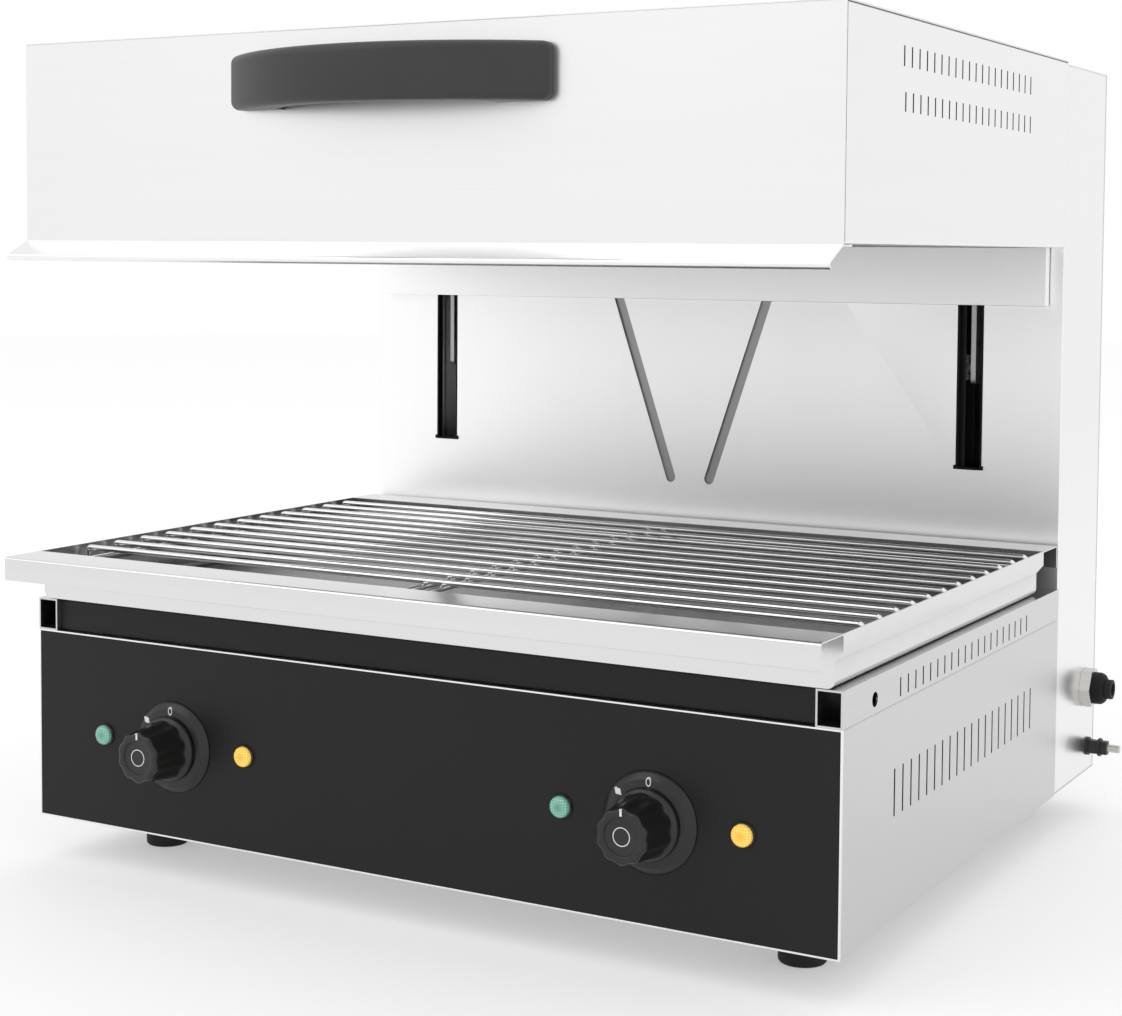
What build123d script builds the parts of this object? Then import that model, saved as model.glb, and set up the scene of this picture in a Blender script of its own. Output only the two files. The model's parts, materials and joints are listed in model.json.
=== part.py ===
from build123d import *
from math import atan2, cos, degrees, hypot, pi, sin
import os

# A counter-top cheese melter whose heated head rides up and down on a rear column.
# Drawn in millimetres about its own datums: x = 0 is the centre line, y = 0 the face of the
# control panel with the back towards +Y, and z = 0 the underside of the base.
# The last section sets every piece down with the origin on the floor, under the model's middle.

# ------------------------------------------------------------------ driving dimensions
body_width = 600.0
base_depth = 416.0            # control panel to the face of the column
base_height = 131.5
column_depth = 105.0
column_height = 534.0
column_inset = 1.0            # the column is this much narrower than the base on each side
sheet = 1.0                   # stainless casing sheet
thick_sheet = 1.2             # front panels and the column face
fold = 12.0                   # width of a folded edge
bend = 1.6                    # radius of a fold, on the middle of the sheet
running_gap = 0.3             # between pieces that slide over each other
hole_clearance = 0.5          # radial, on plain holes in the casing
shaft_clearance = 0.05        # radial, on every shaft, stud and axle

# Plain round parts are drawn with flats, which keeps the model light. Bearings and mounts are round.
large_sides = 24
round_sides = 16
small_sides = 8

# control panel
panel_rim = 1.2
panel_gap = 0.1               # around the panel in its rim
knob_x = 180.0
knob_z = 62.5
lamp_spacing = 60.0           # from a knob to the lamp on each side of it
lamp_z = 63.8
lamp_body_radius = 5.9
lamp_body_length = 20.0
bezel_radius = 8.0
bezel_thickness = 1.6
bezel_floor = 0.6
lens_radius = 6.6
lens_height = 4.0
lens_bevel = 1.6

# controls
bush_radius = 5.0
shaft_radius = 3.0
shaft_hold = 28.0             # length of the shaft inside the regulator
shaft_flat = 0.5
regulator_width = 44.0
regulator_height = 40.0
regulator_depth = 36.0
blade = (6.3, 0.8, 9.0)       # width, thickness and length of a terminal blade
blade_grid = (20.0, 16.0)
dial_radius = 31.0
dial_thickness = 4.5
dial_bevel = 5.0
knob_skirt_radius = 22.0
knob_skirt_thickness = 4.0
knob_skirt_taper = 1.0
knob_grip_radius = 19.5
knob_face_radius = 17.0
knob_length = 32.2            # from the back of the skirt to the face
knob_bore = 20.0
knob_recess_radius = 11.0
knob_recess_depth = 1.2
knob_flutes = 10
flute_share = 0.4             # of the way round that the flutes take up
flute_depth = 1.7

# rails and tray
rail_width = 16.5
rail_height = 22.0
rail_wall = 1.2
rail_hole_y = 49.2
rail_hole_rise = 8.5
rail_hole_radius = 4.5
rail_screw_radius = 3.5
rail_screw_height = 2.5
cross_panel_y = 4.0
tray_height = 32.2
tray_back_gap = 6.0           # from the rear lip to the column
tray_step = 5.0               # how far the pan is set in below the ledge that carries the grid
tray_ledge_drop = 10.0        # from the rim to the top of the sloping ledge
tray_slope = 6.0
tray_lip_reach = 33.0
tray_lip_drop = 16.0
tray_corner = 5.0

# wire grid
frame_wire_radius = 2.5
cross_wire_radius = 2.0
wire_sides = 6
cross_wire_count = 12
cross_wire_drop = 2.0         # from the tray's rim to the middle of the cross wires
cross_wire_bend = 3.0
first_wire_y = 43.5
last_wire_gap = 13.2          # from the last cross wire to the back of the frame
grid_front = 14.0
grid_back_gap = 9.0
grid_corner = 12.0
centre_wire_x = 7.0
weld_depth = 0.9              # how far crossing wires are pressed into each other

# feet
foot_height = 30.0
foot_radius = 15.0
foot_taper = 2.0
foot_side_inset = 53.0
foot_front_y = 73.0
foot_back_inset = 59.0
foot_stud_radius = 4.0
foot_stud_length = 10.0
foot_nut_radius = 7.5
foot_nut_height = 6.0

# column face
slot_inset = 69.0             # from the column's side to the middle of a slot
slot_width = 20.0
slot_top_gap = 10.0
slot_end_gap = 2.5            # below the head's apron when the head is down
liner_wall = 1.5
liner_depth = 5.0
liner_flange = 6.0
liner_ledge = (0.8, 3.0)      # how far the lower ledge stands out, and its height
groove_width = 8.0
groove_depth = 2.0
groove_low = (17.0, 317.0)    # distance from the centre line and from the column's top
groove_high = (85.0, 115.0)
wiring_hole = (80.0, 50.0)

# column back
screw_head_radius = 4.0
screw_head = 1.8
back_screw_inset = 30.0
back_louvre_drop = 64.0
back_louvre_pitch = (24.0, 30.0)
back_louvre_count = 10
back_louvre_height = 20.0

# head
head_step = 2.0               # the head's top above the column's
head_gap = 1.5                # from the head to the column
head_travel = 120.0
hood_overhang = 9.0           # in front of the control panel
hood_height = 134.0
hood_seam = 1.0
hood_flange = 18.0
apron_inset = 11.0
apron_drop = 42.5
apron_depth = 7.5
lip_reach = 20.5
lip_drop = 10.2
lip_hem = (4.0, 2.4)

# handle
handle_length = 234.0
handle_height = 35.0
handle_drop = 33.0            # from the head's top to the middle of the handle
handle_reach = 50.0
handle_thickness = 16.0
handle_foot = 37.0
handle_end_reach = 8.0
handle_foot_step = 3.0
handle_bevel = 4.0
handle_end_round = 8.0
handle_screw_radius = 2.5
handle_screw_length = 13.0
handle_screw_head_radius = 4.5
handle_screw_head = 3.0

# carriage, guides and lift springs
arm_thickness = 4.0
arm_top_drop = 22.0
arm_neck_rise = 6.5           # the neck's lower edge above the apron's
arm_finger = 12.0             # the arm's finger around the lower axle
arm_round = 4.0
roller_radius = 9.7
roller_width = 8.0
roller_offset = 6.0           # from the arm to the roller
axle_radius = 4.0
axle_boss = 1.5               # how much larger the axle's shoulder and head are
axle_head = 1.0
axle_setback = 18.8           # behind the column's face sheet
axle_top_drop = 50.0
axle_spacing = 174.0
guide_wall = 1.5
guide_web_gap = 5.5
guide_flange_gap = 4.0
carriage_rise = 28.0
carriage_height = 30.0
carriage_depth = 20.0
carriage_gap = 2.5            # behind the guide rails
carriage_wall = 2.0
bracket_wall = 1.5
bracket_margin = 40.0
bracket_foot = 8.0
bracket_overlap = 2.0
spring_x = 100.0
spring_radius = 9.0
spring_bore_radius = 7.0
spring_rod_radius = 4.0
spring_bottom = 40.0
spring_floor = 4.0
spring_cap = 8.0
spring_piston = 8.0
spring_head_gap = 48.0        # from a cylinder to the carriage when the head is down

# heating
element_radius = 4.0
element_rise = 22.0
element_pitch = 46.0
element_runs = 6
element_inner_x = 28.0
element_front_gap = 32.8
element_back_gap = 27.5
reflector_height = 43.0
reflector_setback = 20.0
insulation_thickness = 30.0
insulation_inset = 5.0
hanger_thickness = 2.0
hanger_inset = 65.0
hanger_margin = 10.0

# louvres: distance of the row from the front and back ends, height of its middle, slot length
louvre_width = 2.0
louvre_count = 20
base_louvres = (83.5, 65.0, 77.9, 28.5)
rail_louvres = (91.0, 77.0, 8.5, 11.4)
hood_upper_louvres = (90.0, 89.5, 110.0, 12.0)
hood_lower_louvres = (93.0, 89.0, 83.5, 11.4)

# supply side
gland_inset = 29.0            # from the column's back
gland_z = 68.0
gland_thread_radius = 10.0
gland_thread_length = 12.0
gland_bore_radius = 4.5
gland_hex_radius = 15.5
gland_hex_thickness = 8.0
gland_seal_wall = 3.0
gland_seal_length = 14.0
gland_cap_radius = 12.0
gland_cap_length = 9.0
gland_cap_bevel = 2.0
locknut_radius = 14.0
locknut_thickness = 5.0
bond_inset = 17.0
bond_z = 20.0
bond_radius = 3.0
bond_core_radius = 2.6        # where the nuts' threads fill the stud's
bond_inner_length = 14.0
bond_nut_radius = 5.8
bond_washer_radius = 7.0
side_reach = 25.0             # how far the bonding stud stands out of the column
terminal_size = (60.0, 24.0, 12.0)
terminal_inset = (64.0, 31.0)
terminal_way = (8.0, 18.0, 8.0)
terminal_pitch = 11.0
terminal_ways = 5

# ------------------------------------------------------------------ sizes that follow
half_width = body_width / 2
inner_half_width = half_width - sheet / 2 - bend
half_column = half_width - column_inset
column_width = 2 * half_column
column_back_y = base_depth + column_depth
column_inside_y = base_depth + thick_sheet
lamp_x = (-knob_x - lamp_spacing, lamp_spacing - knob_x, knob_x - lamp_spacing, knob_x + lamp_spacing)
shaft_back_y = 2 * sheet + shaft_hold
knob_back_y = -dial_thickness - running_gap
knob_front_y = knob_back_y - knob_length
shaft_front_y = knob_back_y - knob_bore + running_gap
foot_x = half_width - foot_side_inset
foot_back_y = column_back_y - foot_back_inset

# The tray rides on the rails. The grid's frame rests on the middle of the tray's sloping ledges.
rail_top = base_height + rail_height
tray_bottom = rail_top + running_gap
tray_top = tray_bottom + tray_height
tray_ledge = tray_top - tray_ledge_drop
tray_depth = base_depth - tray_back_gap - tray_lip_reach
half_tray = half_width
half_pan = half_tray - tray_step
slope_low = tray_ledge - tray_slope
slope_length = hypot(tray_step, tray_slope)
ledge_rise = sheet * (slope_length - tray_slope) / tray_step
frame_wire_seat = frame_wire_radius + running_gap
grid_half_width = half_pan - sheet + tray_step / 2 - frame_wire_seat * tray_slope / slope_length
grid_frame_z = slope_low + ledge_rise + tray_slope / 2 + frame_wire_seat * tray_step / slope_length
grid_back = tray_depth - grid_back_gap
cross_wire_z = tray_top - cross_wire_drop
cross_wire_pitch = (grid_back - last_wire_gap - first_wire_y) / (cross_wire_count - 1)

# The head hangs just in front of the column, with its top a little higher.
hood_front_y = -hood_overhang
hood_inside_y = hood_front_y + thick_sheet
hood_back_y = base_depth - head_gap
hood_top_z = column_height + head_step
hood_bottom = hood_top_z - hood_height
apron_bottom = hood_bottom - apron_drop
apron_front_y = hood_back_y - sheet - apron_depth
lip_front_y = hood_front_y - lip_reach
handle_z = hood_top_z - handle_drop
handle_front_y = hood_front_y - handle_reach
handle_inner_y = handle_front_y + handle_thickness
handle_end_y = hood_front_y - handle_end_reach
half_handle = handle_length / 2
foot_x_inner = half_handle - handle_foot
handle_screw_x = half_handle - handle_foot / 2
element_z = hood_bottom + element_rise
reflector_bottom = hood_bottom + sheet
reflector_top = reflector_bottom + reflector_height
reflector_front = hood_inside_y + reflector_setback
reflector_back = hood_back_y - 2 * sheet
reflector_half_width = half_width - 2 * sheet

# The arms pass through the slots, and their rollers run in the guide rails behind the face.
slot_x = half_column - slot_inset
slot_bottom = apron_bottom - head_travel - slot_end_gap
slot_top = column_height - slot_top_gap
axle_y = column_inside_y + axle_setback
axle_z = (hood_top_z - axle_top_drop - axle_spacing, hood_top_z - axle_top_drop)
arm_inner_x = slot_x - arm_thickness / 2
roller_outer_x = arm_inner_x - roller_offset
roller_inner_x = roller_outer_x - roller_width
guide_web_x = roller_inner_x - running_gap - axle_head - guide_web_gap
flange_offset = roller_radius + running_gap + guide_wall / 2
carriage_front_y = axle_y + flange_offset + guide_wall / 2 + carriage_gap
carriage_back_y = carriage_front_y + carriage_depth
carriage_z = hood_bottom + carriage_rise
spring_y = (carriage_front_y + carriage_back_y) / 2
spring_top = carriage_z - head_travel - spring_head_gap
piston_top = spring_top - spring_cap - 1

gland_y = column_back_y - gland_inset
bond_y = column_back_y - bond_inset


def front_plane(y):
    """A plane that faces the front: x to the right, z up, extruding towards the viewer."""
    return Plane(origin=(0, y, 0), x_dir=(1, 0, 0), z_dir=(0, -1, 0))


def side_plane(x):
    """A plane that faces the right side: y to the back, z up, extruding towards +X."""
    return Plane.YZ.offset(x)


def axis_plane(x, y, z):
    """A plane square to +X at a point, for the fittings on the column's right side."""
    return Plane(origin=(x, y, z), x_dir=(0, 1, 0), z_dir=(1, 0, 0))


def folded(plane, points, length, thickness=sheet):
    """A sheet folded along the points of its middle line and extruded from the plane."""
    with BuildPart() as strip:
        with BuildSketch(plane):
            with BuildLine():
                FilletPolyline(*points, radius=bend)
            trace(line_width=thickness)
        extrude(amount=length)
    return strip.part


def louvres(front_y, back_y, low_z, row_sizes):
    """A row of upright slots on the right side, measured from the ends and foot of its sheet."""
    front_gap, back_gap, rise, height = row_sizes
    length = back_y - back_gap - front_y - front_gap
    with BuildSketch(side_plane(half_width)) as row:
        with Locations((front_y + front_gap + length / 2, low_z + rise)):
            with GridLocations(length / (louvre_count - 1), 0, louvre_count, 1):
                Rectangle(louvre_width, height)
    return row.sketch


# ------------------------------------------------------------------ base casing
with BuildPart() as base_side_right:
    edge = half_width - sheet / 2
    add(folded(
        front_plane(base_depth),
        [(half_width - fold, sheet / 2), (edge, sheet / 2), (edge, base_height - sheet / 2),
         (half_width - fold, base_height - sheet / 2)],
        base_depth - 2 * sheet,
    ))
    extrude(louvres(0, base_depth, 0, base_louvres), amount=-3 * sheet, mode=Mode.SUBTRACT)

with BuildPart() as base_side_left:
    mirror(base_side_right.part, about=Plane.YZ)

with BuildPart() as base_pan:
    with BuildSketch(Plane.XY.offset(sheet)):
        with Locations((0, 2 * sheet)):
            Rectangle(2 * inner_half_width, base_depth - 2 * sheet, align=(Align.CENTER, Align.MIN))
        with Locations((0, base_depth)):
            Rectangle(column_width, column_depth - sheet, align=(Align.CENTER, Align.MIN))
        with Locations((0, (foot_front_y + foot_back_y) / 2)):
            with GridLocations(2 * foot_x, foot_back_y - foot_front_y, 2, 2):
                RegularPolygon(foot_stud_radius + hole_clearance, small_sides, mode=Mode.SUBTRACT)
    extrude(amount=sheet)

with BuildPart() as base_deck:
    with BuildSketch(Plane.XY.offset(base_height - 2 * sheet)):
        with Locations((0, 2 * sheet)):
            Rectangle(2 * inner_half_width, base_depth - 2 * sheet, align=(Align.CENTER, Align.MIN))
    extrude(amount=sheet)


def panel_holes():
    """The lamp and control holes, on the face of the panel."""
    with BuildSketch(front_plane(0)) as holes:
        with Locations(*[(x, lamp_z) for x in lamp_x]):
            RegularPolygon(lamp_body_radius + panel_gap, round_sides)
        with Locations((-knob_x, knob_z), (knob_x, knob_z)):
            RegularPolygon(bush_radius + hole_clearance, round_sides)
    return holes.sketch


with BuildPart() as front_chassis:
    with BuildSketch(front_plane(2 * sheet)):
        with Locations((0, base_height / 2)):
            Rectangle(body_width, base_height)
    extrude(amount=2 * sheet)
    with BuildSketch(front_plane(sheet)):
        with Locations((0, base_height / 2)):
            Rectangle(body_width - 2 * panel_rim, base_height - 2 * panel_rim)
    extrude(amount=sheet, mode=Mode.SUBTRACT)
    with BuildSketch(front_plane(2 * sheet)):
        with Locations((0, sheet / 2), (0, base_height - sheet / 2)):
            Rectangle(body_width - 2 * fold - 1, sheet)
    extrude(amount=-fold)
    extrude(panel_holes(), amount=-3 * sheet, mode=Mode.SUBTRACT)

with BuildPart() as front_panel:
    with BuildSketch(front_plane(sheet)):
        with Locations((0, base_height / 2)):
            panel_inset = 2 * (panel_rim + panel_gap)
            Rectangle(body_width - panel_inset, base_height - panel_inset)
    extrude(amount=sheet)
    extrude(panel_holes(), amount=-2 * sheet, mode=Mode.SUBTRACT)

with BuildPart() as rail_right:
    with BuildSketch(front_plane(base_depth)):
        with Locations((half_width - rail_width / 2, base_height + rail_height / 2)):
            Rectangle(rail_width, rail_height)
            Rectangle(rail_width - 2 * rail_wall, rail_height - 2 * rail_wall, mode=Mode.SUBTRACT)
    extrude(amount=base_depth)
    extrude(louvres(0, base_depth, base_height, rail_louvres), amount=-2 * rail_wall, mode=Mode.SUBTRACT)
    with BuildSketch(side_plane(half_width)):
        with Locations((rail_hole_y, base_height + rail_hole_rise)):
            RegularPolygon(rail_hole_radius, round_sides)
    extrude(amount=-2 * rail_wall, mode=Mode.SUBTRACT)

with BuildPart() as side_rails:
    add(rail_right)
    mirror(rail_right.part, about=Plane.YZ)

with BuildPart() as rail_screws:
    for side in (-1, 1):
        with BuildSketch(side_plane(side * (half_width - rail_width + rail_wall))):
            with Locations((rail_hole_y, base_height + rail_hole_rise)):
                RegularPolygon(rail_screw_radius, small_sides)
        extrude(amount=side * rail_screw_height)

with BuildPart() as cross_panel:
    cross_y = cross_panel_y + thick_sheet / 2
    add(folded(
        side_plane(rail_width - half_width),
        [(cross_y + fold, base_height + thick_sheet / 2), (cross_y, base_height + thick_sheet / 2),
         (cross_y, rail_top - thick_sheet / 2), (cross_y + fold, rail_top - thick_sheet / 2)],
        body_width - 2 * rail_width,
        thick_sheet,
    ))


def foot(x, y):
    """A rubber foot with its threaded stud through the base pan."""
    with BuildPart() as piece:
        with BuildSketch(Plane(origin=(x, y, -foot_height))):
            RegularPolygon(foot_radius, large_sides)
        extrude(amount=foot_height + sheet)
        chamfer(piece.faces().sort_by(Axis.Z)[0].edges(), foot_taper)
        with BuildSketch(Plane(origin=(x, y, sheet))):
            RegularPolygon(foot_stud_radius, small_sides)
        extrude(amount=foot_stud_length)
    return piece.part


foot_places = [(x, y) for x in (-foot_x, foot_x) for y in (foot_front_y, foot_back_y)]

with BuildPart() as feet:
    for x, y in foot_places:
        add(foot(x, y))

with BuildPart() as foot_nuts:
    with BuildSketch(Plane.XY.offset(2 * sheet)):
        with Locations(*foot_places):
            RegularPolygon(foot_nut_radius, 6)
            RegularPolygon(foot_stud_radius + shaft_clearance, small_sides, mode=Mode.SUBTRACT)
    extrude(amount=foot_nut_height)


# ------------------------------------------------------------------ controls
with BuildPart() as lamp_bezels:
    for start_y, radius, length in (
        (lamp_body_length, lamp_body_radius, lamp_body_length), (0, bezel_radius, bezel_thickness),
    ):
        with BuildSketch(front_plane(start_y)):
            with Locations(*[(x, lamp_z) for x in lamp_x]):
                RegularPolygon(radius, round_sides)
        extrude(amount=length)
    with BuildSketch(front_plane(-bezel_floor)):
        with Locations(*[(x, lamp_z) for x in lamp_x]):
            RegularPolygon(lens_radius + panel_gap, round_sides)
    extrude(amount=bezel_thickness, mode=Mode.SUBTRACT)


def lamp_lenses(places):
    """The domed lenses that sit in the bezels at these places along the panel."""
    with BuildPart() as piece:
        with BuildSketch(front_plane(-bezel_floor)):
            with Locations(*[(x, lamp_z) for x in places]):
                RegularPolygon(lens_radius, round_sides)
        extrude(amount=lens_height)
        chamfer(piece.faces().filter_by(Axis.Y).group_by(Axis.Y)[0].edges(), lens_bevel)
    return piece


lamp_lenses_green = lamp_lenses(lamp_x[::2])
lamp_lenses_amber = lamp_lenses(lamp_x[1::2])

with BuildPart() as dial_plates:
    for x in (-knob_x, knob_x):
        with BuildSketch(front_plane(0)):
            with Locations((x, knob_z)):
                RegularPolygon(dial_radius, large_sides)
        with BuildSketch(front_plane(-dial_thickness)):
            with Locations((x, knob_z)):
                RegularPolygon(dial_radius - dial_bevel, large_sides)
        loft(ruled=True)
        with BuildSketch(front_plane(0)):
            with Locations((x, knob_z)):
                RegularPolygon(bush_radius + panel_gap, round_sides)
        extrude(amount=dial_thickness, mode=Mode.SUBTRACT)


def regulator(x):
    """The energy regulator behind the panel, with the bush that its shaft turns in."""
    with BuildPart() as piece:
        with BuildSketch(front_plane(2 * sheet)):
            with Locations((x, knob_z)):
                Rectangle(regulator_width, regulator_height)
        extrude(amount=-regulator_depth)
        with BuildSketch(front_plane(2 * sheet)):
            with Locations((x, knob_z)):
                RegularPolygon(bush_radius, round_sides)
        extrude(amount=2 * sheet + dial_thickness)
        with BuildSketch(front_plane(shaft_back_y + running_gap)):
            with Locations((x, knob_z)):
                RegularPolygon(shaft_radius + shaft_clearance, round_sides, major_radius=False)
        extrude(amount=shaft_back_y + running_gap + dial_thickness, mode=Mode.SUBTRACT)
        with BuildSketch(front_plane(2 * sheet + regulator_depth)):
            with Locations((x, knob_z)):
                with GridLocations(*blade_grid, 2, 2):
                    Rectangle(blade[0], blade[1])
        extrude(amount=-blade[2])
    return piece.part


with BuildPart() as regulators:
    for x in (-knob_x, knob_x):
        add(regulator(x))


def control_shaft(x):
    """The shaft with its flat, from inside the regulator into the knob."""
    with BuildPart() as piece:
        with BuildSketch(front_plane(shaft_back_y)):
            with Locations((x, knob_z)):
                Circle(shaft_radius)
        extrude(amount=shaft_back_y - shaft_front_y)
        with BuildSketch(front_plane(shaft_front_y)):
            with Locations((x, knob_z + shaft_radius - shaft_flat)):
                Rectangle(2 * shaft_radius, shaft_radius, align=(Align.CENTER, Align.MIN))
        extrude(amount=-knob_bore / 2, mode=Mode.SUBTRACT)
    return piece


def grip_outline(radius):
    """The points of the grip's outline: a lobe, then the bottom of the flute beside it."""
    turn = 2 * pi / knob_flutes
    points = []
    for number in range(knob_flutes):
        for share, reach in (
            (flute_share / 2, radius), (1 - flute_share / 2, radius), (1, radius - flute_depth),
        ):
            angle = turn * (number + share)
            points.append((reach * sin(angle), reach * cos(angle)))
    return points


def knob(x):
    """A fluted knob on a round skirt, with a recess in its face and a blind bore for the shaft."""
    grip_back_y = knob_back_y - knob_skirt_thickness
    with BuildPart() as piece:
        for y, radius in ((grip_back_y, knob_grip_radius), (knob_front_y, knob_face_radius)):
            with BuildSketch(front_plane(y)):
                with Locations((x, knob_z)):
                    Polygon(*grip_outline(radius), align=None)
        loft(ruled=True)
        for y, radius in (
            (knob_back_y, knob_skirt_radius), (grip_back_y, knob_skirt_radius - knob_skirt_taper),
        ):
            with BuildSketch(front_plane(y)):
                with Locations((x, knob_z)):
                    RegularPolygon(radius, large_sides)
        loft(ruled=True)
        with BuildSketch(front_plane(knob_front_y)):
            with Locations((x, knob_z)):
                RegularPolygon(knob_recess_radius, round_sides)
        extrude(amount=-knob_recess_depth, mode=Mode.SUBTRACT)
        with BuildSketch(front_plane(knob_back_y)):
            with Locations((x, knob_z)):
                RegularPolygon(shaft_radius + shaft_clearance, round_sides, major_radius=False)
        extrude(amount=knob_bore, mode=Mode.SUBTRACT)
    return piece


controls = {}
for side_name, x in (("left", -knob_x), ("right", knob_x)):
    controls[f"control_shaft_{side_name}"] = control_shaft(x)
    controls[f"knob_{side_name}"] = knob(x)


# ------------------------------------------------------------------ drip tray and wire grid
def pan_section(y, inset, top):
    """The tray's section across its width, moved inwards by inset, as a sketch on a front plane."""
    rise = ledge_rise * inset / sheet
    with BuildSketch(front_plane(y)) as section:
        with BuildLine():
            Polyline(
                (0, tray_bottom + inset), (half_pan - inset, tray_bottom + inset),
                (half_pan - inset, slope_low + rise), (half_tray - inset, tray_ledge + rise),
                (half_tray - inset, top), (0, top), (0, tray_bottom + inset),
            )
        make_face()
        fillet(section.vertices().group_by(Axis.Y)[0].sort_by(Axis.X)[-1], tray_corner - inset)
        mirror(about=Plane.YZ)
    return section.sketch


with BuildPart() as drip_tray:
    extrude(pan_section(tray_depth, 0, tray_top), amount=tray_depth)
    extrude(
        pan_section(tray_depth - sheet, sheet, tray_top + 1),
        amount=tray_depth - 2 * sheet,
        mode=Mode.SUBTRACT,
    )
    for edge_y, outward in ((0, -1), (tray_depth, 1)):
        add(folded(
            side_plane(-half_tray),
            [(edge_y - outward * sheet / 2, tray_top - sheet / 2),
             (edge_y + outward * (tray_lip_reach - sheet / 2), tray_top - sheet / 2),
             (edge_y + outward * (tray_lip_reach - sheet / 2), tray_top - tray_lip_drop)],
            2 * half_tray,
        ))


def wire(points, radius):
    """A round wire along straight runs, mitred where they meet."""
    with BuildPart() as piece:
        with BuildLine() as path:
            Polyline(*points)
        with BuildSketch(Plane(origin=path.line @ 0, z_dir=path.line % 0)):
            RegularPolygon(radius, wire_sides)
        sweep(transition=Transition.RIGHT)
    return piece.part


with BuildPart() as wire_grid:
    with BuildSketch(Plane.XY.offset(grid_frame_z), mode=Mode.PRIVATE) as frame_outline:
        with Locations((0, (grid_front + grid_back) / 2)):
            RectangleRounded(2 * grid_half_width, grid_back - grid_front, grid_corner)
    frame_path = frame_outline.sketch.wires()[0]
    with BuildSketch(Plane(origin=frame_path @ 0, z_dir=frame_path % 0)):
        RegularPolygon(frame_wire_radius, small_sides)
    sweep(path=frame_path)
    for number in range(cross_wire_count):
        wire_y = first_wire_y + number * cross_wire_pitch
        add(wire(
            [(-grid_half_width, wire_y, grid_frame_z),
             (-grid_half_width, wire_y, cross_wire_z - cross_wire_bend),
             (-grid_half_width + cross_wire_bend, wire_y, cross_wire_z),
             (grid_half_width - cross_wire_bend, wire_y, cross_wire_z),
             (grid_half_width, wire_y, cross_wire_z - cross_wire_bend),
             (grid_half_width, wire_y, grid_frame_z)],
            cross_wire_radius,
        ))
    centre_wire_z = cross_wire_z - 2 * cross_wire_radius + weld_depth
    for wire_x in (-centre_wire_x, centre_wire_x):
        add(wire(
            [(wire_x, grid_front, grid_frame_z), (wire_x, grid_front, centre_wire_z),
             (wire_x, grid_back, centre_wire_z), (wire_x, grid_back, grid_frame_z)],
            cross_wire_radius,
        ))


# ------------------------------------------------------------------ column
with BuildPart() as column_front:
    with BuildSketch(front_plane(column_inside_y)):
        with Locations((0, 2 * sheet)):
            Rectangle(column_width, column_height - 3 * sheet, align=(Align.CENTER, Align.MIN))
        with Locations((-slot_x, slot_bottom), (slot_x, slot_bottom)):
            Rectangle(slot_width, slot_top - slot_bottom, align=(Align.CENTER, Align.MIN), mode=Mode.SUBTRACT)
        with Locations((0, base_height / 2)):
            Rectangle(*wiring_hole, mode=Mode.SUBTRACT)
    extrude(amount=thick_sheet)
    groove_run = groove_high[0] - groove_low[0]
    groove_rise = groove_low[1] - groove_high[1]
    groove_length = hypot(groove_run, groove_rise)
    groove_angle = degrees(atan2(groove_rise, groove_run))
    groove_middle = (groove_low[0] + groove_run / 2, column_height - groove_low[1] + groove_rise / 2)
    for side in (-1, 1):
        groove_turn = groove_angle if side > 0 else 180 - groove_angle
        with BuildSketch(front_plane(column_inside_y + groove_depth)):
            with Locations((side * groove_middle[0], groove_middle[1])):
                Rectangle(
                    groove_length + groove_width + 2 * sheet, groove_width + 2 * sheet,
                    rotation=groove_turn,
                )
        extrude(amount=groove_depth)
        with BuildSketch(front_plane(base_depth)):
            with Locations((side * groove_middle[0], groove_middle[1])):
                SlotCenterToCenter(groove_length, groove_width, rotation=groove_turn)
        extrude(amount=-groove_depth, mode=Mode.SUBTRACT)

with BuildPart() as column_side_right:
    side_middle_x = half_column - sheet / 2
    add(folded(
        Plane.XY.offset(2 * sheet),
        [(half_column - fold, column_inside_y + sheet / 2), (side_middle_x, column_inside_y + sheet / 2),
         (side_middle_x, column_back_y - 1.5 * sheet), (half_column - fold, column_back_y - 1.5 * sheet)],
        column_height - 3 * sheet,
    ))
    with BuildSketch(side_plane(half_column)):
        with Locations((gland_y, gland_z)):
            RegularPolygon(gland_thread_radius + shaft_clearance, round_sides)
        with Locations((bond_y, bond_z)):
            RegularPolygon(bond_core_radius + shaft_clearance, small_sides)
    extrude(amount=-2 * sheet, mode=Mode.SUBTRACT)

with BuildPart() as column_side_left:
    add(folded(
        Plane.XY.offset(2 * sheet),
        [(fold - half_column, column_inside_y + sheet / 2), (-side_middle_x, column_inside_y + sheet / 2),
         (-side_middle_x, column_back_y - 1.5 * sheet), (fold - half_column, column_back_y - 1.5 * sheet)],
        column_height - 3 * sheet,
    ))

back_screw_places = [
    (x, z)
    for x in (fold / 2 - half_column, half_column - fold / 2)
    for z in (back_screw_inset, column_height / 2, column_height - back_screw_inset)
]

with BuildPart() as column_back:
    with BuildSketch(front_plane(column_back_y)):
        with Locations((0, sheet)):
            Rectangle(column_width, column_height - 2 * sheet, align=(Align.CENTER, Align.MIN))
        with Locations((0, column_height - back_louvre_drop)):
            with GridLocations(*back_louvre_pitch, back_louvre_count, 2):
                Rectangle(louvre_width, back_louvre_height, mode=Mode.SUBTRACT)
    extrude(amount=sheet)

with BuildPart() as back_screws:
    with BuildSketch(front_plane(column_back_y)):
        with Locations(*back_screw_places):
            RegularPolygon(screw_head_radius, small_sides)
    extrude(amount=-screw_head)

with BuildPart() as column_top:
    with BuildSketch(Plane.XY.offset(column_height - sheet)):
        with Locations((0, base_depth)):
            Rectangle(column_width, column_depth, align=(Align.CENTER, Align.MIN))
    extrude(amount=sheet)

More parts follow.
